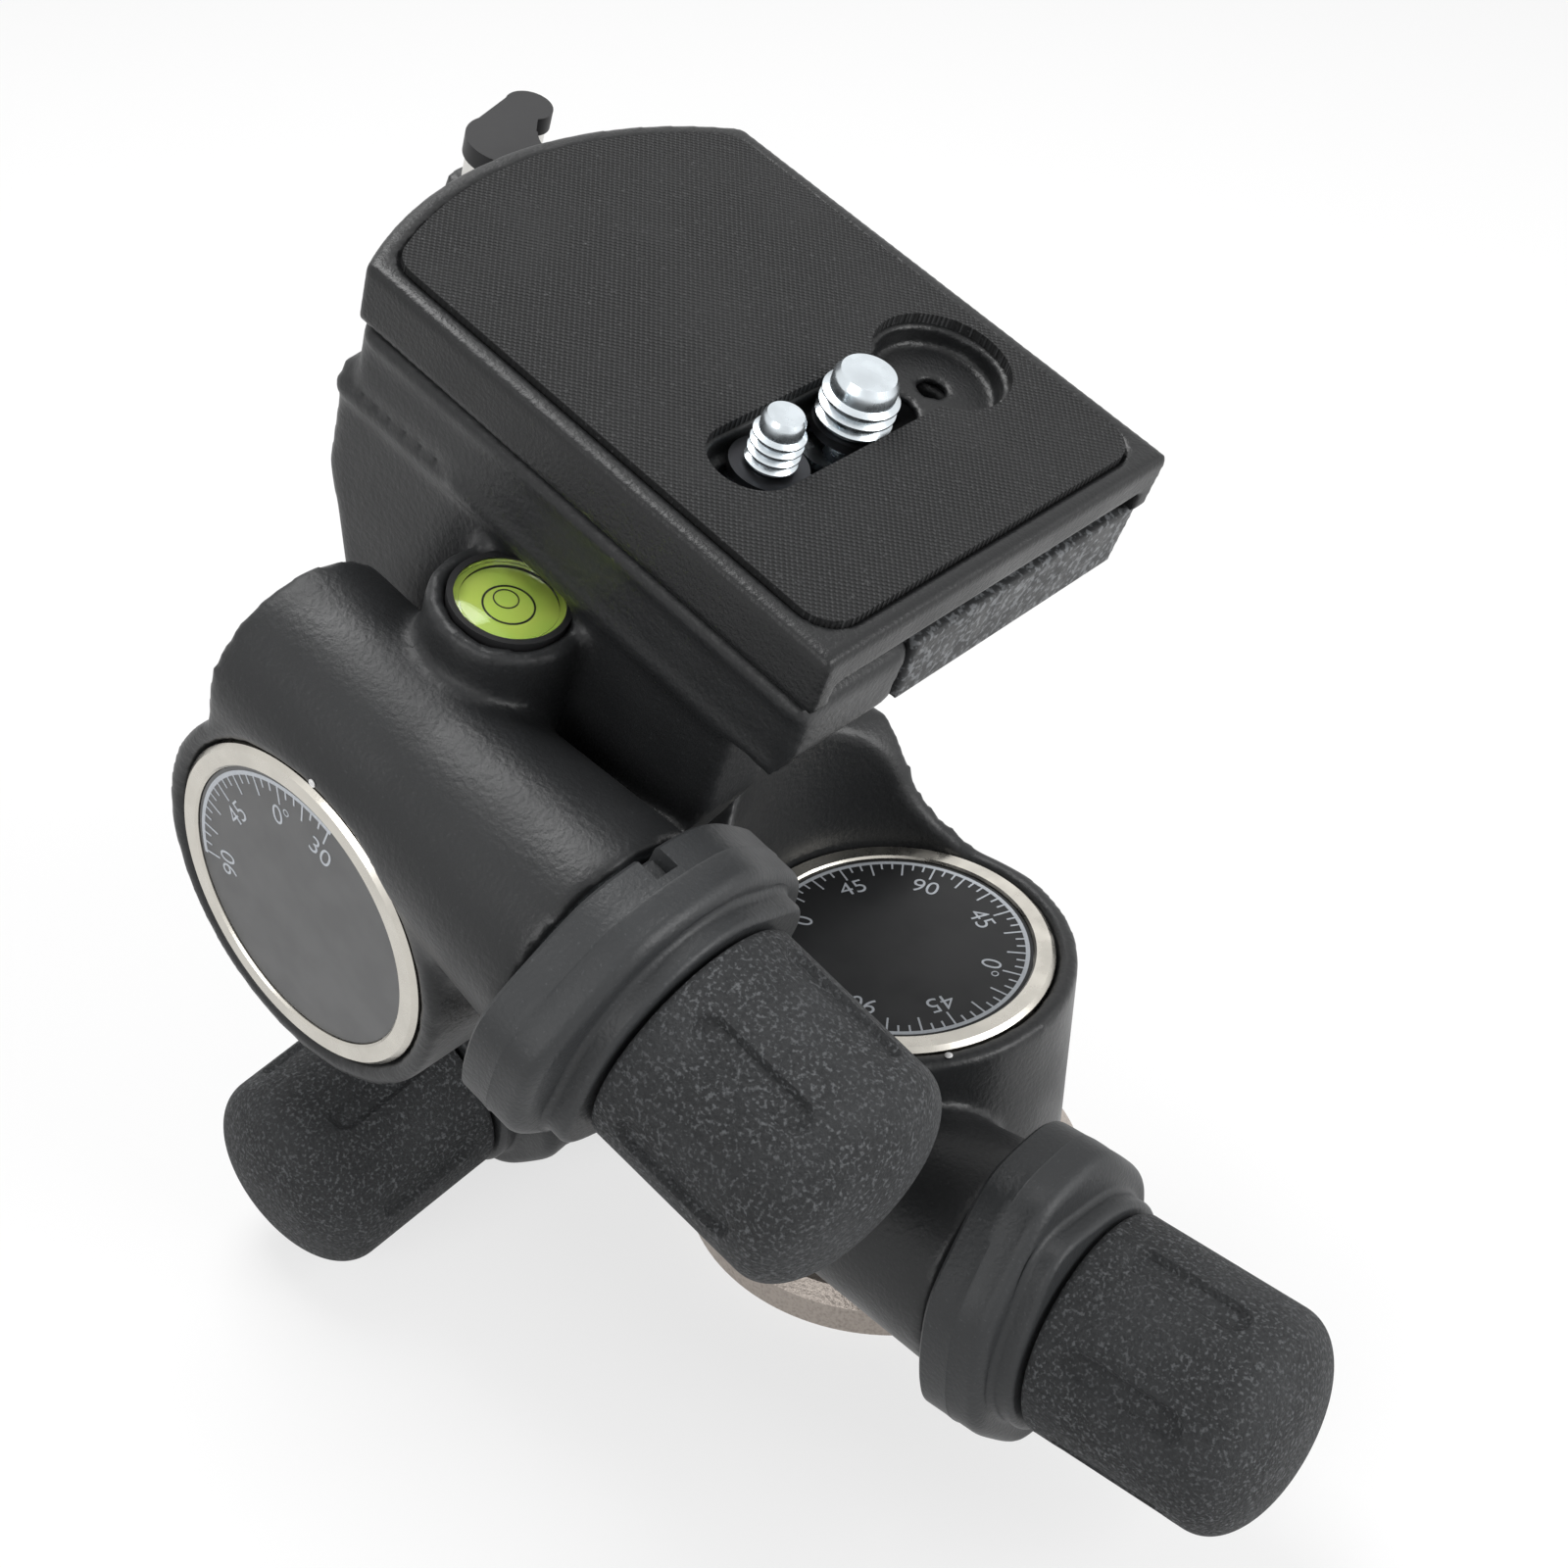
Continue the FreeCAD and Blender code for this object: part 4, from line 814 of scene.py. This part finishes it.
def numeral(drive, degrees, text):
    """Number printed with its head towards the dial's rim."""
    curve = bpy.data.curves.new("numeral", "FONT")
    curve.body = text
    curve.size = sizes().numeral * FONT_SHARE
    curve.align_x = "CENTER"
    curve.align_y = "CENTER"
    curve.extrude = INK_LIFT * MM / 2
    curve.offset = -INK_THINNING * MM
    writer = link_object("writer", curve)
    mesh = evaluated_mesh(writer)
    bpy.data.objects.remove(writer)
    angle = math.radians(DIALS[drive]["zero"] + degrees)
    lift = (-LABEL_DEPTH + INK_LIFT / 2) * MM
    reach = NUMERAL_RADIUS * MM
    spot = Matrix.Translation((reach * math.cos(angle), reach * math.sin(angle), lift))
    mesh.transform(dial_frame(drive) @ spot @ Matrix.Rotation(angle - math.pi / 2, 4, "Z"))
    mesh.materials.clear()
    mesh.materials.append(MATERIALS["ink"])
    piece = link_object("%s_number_%d" % (drive, degrees % 360), mesh)
    return settle(piece, DIAL_BODY[drive])


def dot(name, centre, outward, radius, body, material):
    """Small raised paint dot: a flattened ball, half sunk in its surface."""
    turn = np.linspace(0, np.pi, DOT_ROWS)
    profile = np.stack([radius * np.sin(turn), -DOT_FLATNESS * radius * np.cos(turn)], axis=-1)
    profile[0, 0] = profile[-1, 0] = 0.0
    piece = turned(name, profile, upright(outward, DOT_ACROSS, centre), material, DOT_SIDES)
    return settle(piece, body)


# Castings, in millimetres and degrees

BEADS = {
    "bead_a": ((-31, -40.1, 56.9), (40.5, -40.1, 56.9)),
    "bead_b": ((-14, -39.7, 46.9), (40.5, -39.7, 46.9)),
}
DRUM_INNER = 23.5
DRUM_OUTER = 25.5
DRUM_LOW = -39.6
DRUM_HIGH = -1.2
UPPER_ARC = (140, 330)
PAN_ARC = (-30, 60)
# Name, node, body, finish, grid size and softening passes of each casting
CASTINGS = (
    ("upper_casting", "upper_tilt_housing", "upper_tilt_body", "coat", 0.9, 9),
    ("pan_casting", "pan_housing", "pan_body", "coat", 0.75, 12),
    ("lower_casting", "lower_tilt_housing", "lower_tilt_body", "coat", 0.75, 10),
    ("front_jaw", "side_jaw", "upper_tilt_body", "jaw", 0.5, 4),
    ("camera_plate", "quick_plate", "plate", "plate", 0.5, 4),
)


def drum_round(name, drive, arc):
    """Part of a round drum behind a dial, which takes the facets off the casting."""
    return arc_shell(name, dial_frame(drive), *arc, DRUM_INNER, DRUM_OUTER, DRUM_LOW, DRUM_HIGH)


# Level, with its centre in metres and its sizes in millimetres

VIAL_CENTRE = (0.0013, -0.0434, 0.0422)
VIAL_RADIUS = 6.68
VIAL_BORE = 5.9
VIAL_SKIRT = -1.05
VIAL_RISE = 0.8
VIAL_THICK = 0.7
VIAL_ROWS = 16
VIAL_SIDES = 96
MARK_LOW = -1.21
MARK_HIGH = -1.14
MARK_SIDES = 64
CIRCLE_RADIUS = 3.1
CIRCLE_WIDTH = 0.24
BUBBLE_RADIUS = 1.5
BUBBLE_WIDTH = 0.16
BUBBLE_SHIFT = (-0.0009, 0.0004, 0)


# Finishes of the pieces that keep their own shape

SINGLE_PIECES = {
    "base_disc": "base", "rubber_pad": "pad", "large_camera_screw": "zinc", "small_camera_screw": "zinc",
    "large_camera_screw_washer": "dark_metal", "small_camera_screw_washer": "dark_metal",
    "release_lever": "light_metal", "lever_cap": "plastic", "lever_pin": "steel", "pan_column": "steel",
    "lower_tilt_axle_screw": "steel", "upper_tilt_axle_screw": "steel",
}
DRIVE_PIECES = {
    "worm": "steel", "worm_wheel": "bronze", "bush": "bronze", "worm_sleeve": "plastic",
    "release_spring": "zinc", "knob_core": "plastic", "lock_nut": "steel",
}

# Stage, in metres
FLOOR_HALF = 3.0
FLOOR_GREY = (0.86, 0.86, 0.86)
FLOOR_LIFT = 0.72
WHITE_LIGHT = (1, 1, 1, 1)
ROOM_LIGHT = 0.32
LAMP_AIM = Vector((0, 0, 0.07))
# Name, place, side length and power of each lamp
LAMPS = (
    ("key", (-0.35, 0.10, 0.95), 0.55, 7.5),
    ("side", (0.85, 0.25, 0.45), 0.6, 7.0),
    ("front", (0.10, -0.95, 0.55), 0.5, 3.2),
)

# Pinhole camera fitted to the photograph
CAMERA_PLACE = Vector((0.1388352, -0.1854028, 0.2390568))
CAMERA_RIGHT = Vector((0.75034, 0.66103, 0.00459))
CAMERA_DOWN = Vector((0.37794, -0.42329, -0.82340))
FOCAL_PIXELS = 2182.65
CENTRE_PIXELS = (785.59, 765.69)
PHOTO_PIXELS = 1600
SENSOR = 36.0
CLIP_START = 0.01


# Operators

class HEAD_OT_materials(bpy.types.Operator):
    """Make the finishes"""
    bl_idname = "head.materials"
    bl_label = "Finishes"

    def execute(self, context):
        make_materials()
        return {"FINISHED"}


class HEAD_OT_castings(bpy.types.Operator):
    """Make the cast housings, the jaw and the plate"""
    bl_idname = "head.castings"
    bl_label = "Castings"

    def execute(self, context):
        radius = sizes().bead / MM
        upper = [solid_tube(name, start, end, radius, TOP_FRAME) for name, (start, end) in BEADS.items()]
        upper.append(drum_round("upper_round", "upper_tilt", UPPER_ARC))
        extras = {"upper_casting": upper, "pan_casting": [drum_round("pan_round", "pan", PAN_ARC)]}
        for name, node, body, finish, voxel_mm, passes in CASTINGS:
            cast_skin(name, node, body, MATERIALS[finish], voxel_mm, passes, extras.get(name, ()))
        return {"FINISHED"}


class HEAD_OT_knobs(bpy.types.Operator):
    """Make the three rubber grips and the three release rings"""
    bl_idname = "head.knobs"
    bl_label = "Knobs"

    def execute(self, context):
        for drive in DRIVES:
            knob_grip(drive)
            release_ring(drive)
        return {"FINISHED"}


class HEAD_OT_dials(bpy.types.Operator):
    """Make the dials' rings, films, scales and index dots"""
    bl_idname = "head.dials"
    bl_label = "Dials"

    def execute(self, context):
        for drive in DRIVES:
            body = DIAL_BODY[drive]
            dial = DIALS[drive]
            turned_copy(drive + "_bezel", drive + "_dial_ring", body, MATERIALS["nickel"])
            turned_copy(drive + "_film", drive + "_dial_label", body, MATERIALS[dial["film"]])
            dial_ticks(drive)
            for degrees, text in dial["marks"]:
                numeral(drive, degrees, text)
            face = dial_frame(drive)
            angle = math.radians(dial["index"])
            reach = INDEX_RADIUS * MM
            spot = face @ Vector((reach * math.cos(angle), reach * math.sin(angle), 0.0))
            dot(drive + "_index", spot, face.col[2].to_3d(), DOT_RADIUS, drive + "_body", MATERIALS["white"])
        return {"FINISHED"}


class HEAD_OT_level(bpy.types.Operator):
    """Make the bubble level's marks, bubble, fluid and cap"""
    bl_idname = "head.level"
    bl_label = "Level"

    def execute(self, context):
        centre = TOP_FRAME @ Matrix.Translation(VIAL_CENTRE)
        turned_copy("vial_cup", "level_cup", "upper_tilt_body", MATERIALS["plastic"])
        turned_copy("vial_fluid", "level_fluid", "upper_tilt_body", MATERIALS["fluid"])
        share = np.linspace(1.0, 0.0, VIAL_ROWS)
        rise = VIAL_RISE * (1 - share ** 2)
        dome = np.stack([VIAL_RADIUS * share, rise], axis=-1)
        under = np.stack([VIAL_BORE * share, rise - VIAL_THICK], axis=-1)[::-1]
        profile = np.concatenate([[(VIAL_RADIUS, VIAL_SKIRT)], dome, under, [(VIAL_BORE, VIAL_SKIRT)]])
        cap = turned("vial_cap", profile, centre, MATERIALS["clear"], VIAL_SIDES, True)
        settle(cap, "upper_tilt_body", "level_cap")
        self.circle("vial_circle", CIRCLE_RADIUS, CIRCLE_WIDTH, centre)
        self.circle("vial_bubble", BUBBLE_RADIUS, BUBBLE_WIDTH, centre @ Matrix.Translation(BUBBLE_SHIFT))
        return {"FINISHED"}

    def circle(self, name, radius, width, centre):
        """Thin black circle lying on the fluid."""
        inner, outer = radius - width / 2, radius + width / 2
        profile = [(inner, MARK_LOW), (outer, MARK_LOW), (outer, MARK_HIGH), (inner, MARK_HIGH)]
        ring = turned(name, profile, centre, MATERIALS["mark"], MARK_SIDES, True)
        settle(ring, "upper_tilt_body")


class HEAD_OT_metal(bpy.types.Operator):
    """Give every other piece its smooth shape and finish"""
    bl_idname = "head.metal"
    bl_label = "Metal and inner pieces"

    def execute(self, context):
        shown = dict(SINGLE_PIECES)
        for drive in DRIVES:
            shown.update({drive + "_" + piece: finish for piece, finish in DRIVE_PIECES.items()})
            if drive != "pan":
                shown[drive + "_shaft"] = "light_metal"
        for node, finish in shown.items():
            turned_copy("dressed_" + node, node, body_of(node), MATERIALS[finish])
        return {"FINISHED"}


class HEAD_OT_stage(bpy.types.Operator):
    """Make the floor, the lamps and the camera"""
    bl_idname = "head.stage"
    bl_label = "Stage"

    def execute(self, context):
        scene = bpy.context.scene
        scene.view_settings.view_transform = "Standard"
        corners = [(x * FLOOR_HALF, y * FLOOR_HALF, 0) for x, y in ((-1, -1), (1, -1), (1, 1), (-1, 1))]
        floor = mesh_piece("floor", corners, [(0, 1, 2, 3)], self.floor_finish(), False)
        for name, place, size, power in LAMPS:
            self.lamp(name, place, size, power)
        self.room(scene)
        self.camera(scene)
        return {"FINISHED"}

    def room(self, scene):
        """Soft even light all round, behind a plain white backdrop."""
        world = bpy.data.worlds.new("studio")
        scene.world = world
        world.use_nodes = True
        tree = world.node_tree
        back = tree.nodes["Background"]
        back.inputs["Color"].default_value = WHITE_LIGHT
        back.inputs["Strength"].default_value = ROOM_LIGHT
        white = tree.nodes.new("ShaderNodeBackground")
        white.inputs["Color"].default_value = WHITE_LIGHT
        self.mixed(tree, self.sees_white(tree), back, white, tree.nodes["World Output"])

    def mixed(self, tree, share, first, second, output):
        """Shows the second shader by a share and the first by the rest."""
        mix = tree.nodes.new("ShaderNodeMixShader")
        tree.links.new(share, mix.inputs["Fac"])
        tree.links.new(first.outputs[0], mix.inputs[1])
        tree.links.new(second.outputs[0], mix.inputs[2])
        tree.links.new(mix.outputs[0], output.inputs["Surface"])

    def sees_white(self, tree):
        """One for camera, glossy and transmission rays, so that metal and clear pieces show the white too."""
        path = tree.nodes.new("ShaderNodeLightPath")
        total = path.outputs["Is Camera Ray"]
        for kind in ("Is Glossy Ray", "Is Transmission Ray"):
            total = maths(tree, "MAXIMUM", total, path.outputs[kind])
        return total

    def floor_finish(self):
        """Pale floor: matt, and lifted to white for the camera so that only the shadow shows."""
        floor = Finish("floor", FLOOR_GREY, 0.9)
        glow = floor.nodes.new("ShaderNodeEmission")
        glow.inputs["Strength"].default_value = 1.0
        share = maths(floor.tree, "MULTIPLY", self.sees_white(floor.tree), FLOOR_LIFT)
        self.mixed(floor.tree, share, floor.shader, glow, floor.nodes["Material Output"])
        return floor.material

    def lamp(self, name, place, size, power):
        """Square lamp turned towards the middle of the head."""
        light = bpy.data.lights.new(name, "AREA")
        light.size = size
        light.energy = power
        lamp = link_object(name, light)
        lamp.location = place
        aim = LAMP_AIM - Vector(place)
        lamp.rotation_euler = aim.to_track_quat("-Z", "Y").to_euler()

    def camera(self, scene):
        """Camera at the photograph's place: its axes, focal length and centre come from the pinhole model."""
        lens = bpy.data.cameras.new("photo_camera")
        lens.sensor_width = SENSOR
        lens.lens = FOCAL_PIXELS / PHOTO_PIXELS * SENSOR
        lens.shift_x = 0.5 - CENTRE_PIXELS[0] / PHOTO_PIXELS
        lens.shift_y = CENTRE_PIXELS[1] / PHOTO_PIXELS - 0.5
        lens.clip_start = CLIP_START
        camera = link_object("photo_camera", lens)
        right = CAMERA_RIGHT.normalized()
        up = (-CAMERA_DOWN - right * right.dot(-CAMERA_DOWN)).normalized()
        turn = Matrix((right, up, right.cross(up))).transposed().to_4x4()
        camera.matrix_world = Matrix.Translation(CAMERA_PLACE) @ turn
        scene.camera = camera


class HEAD_PT_panel(bpy.types.Panel):
    """Lists the head's settings and its operators"""
    bl_idname = "HEAD_PT_panel"
    bl_label = "Geared Tripod Head"
    bl_space_type = "VIEW_3D"
    bl_region_type = "UI"
    bl_category = "Tripod Head"

    def draw(self, context):
        layout = self.layout
        for group in (context.scene.head_finishes, context.scene.head_sizes):
            for name in group.__annotations__:
                layout.prop(group, name)
        for operator in OPERATORS:
            layout.operator(operator.bl_idname)


OPERATORS = (HEAD_OT_materials, HEAD_OT_stage, HEAD_OT_castings, HEAD_OT_knobs, HEAD_OT_dials, HEAD_OT_level,
             HEAD_OT_metal)
CLASSES = (HeadFinishes, HeadSizes, HEAD_PT_panel) + OPERATORS


def register():
    """Adds the add-on's classes and settings."""
    for item in CLASSES:
        bpy.utils.register_class(item)
    bpy.types.Scene.head_finishes = bpy.props.PointerProperty(type=HeadFinishes)
    bpy.types.Scene.head_sizes = bpy.props.PointerProperty(type=HeadSizes)


def unregister():
    """Takes the add-on's classes and settings away."""
    del bpy.types.Scene.head_finishes
    del bpy.types.Scene.head_sizes
    for item in reversed(CLASSES):
        bpy.utils.unregister_class(item)


def main():
    """Registers the add-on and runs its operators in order."""
    register()
    for operator in OPERATORS:
        group, name = operator.bl_idname.split(".")
        getattr(getattr(bpy.ops, group), name)()


if __name__ == "__main__":
    main()
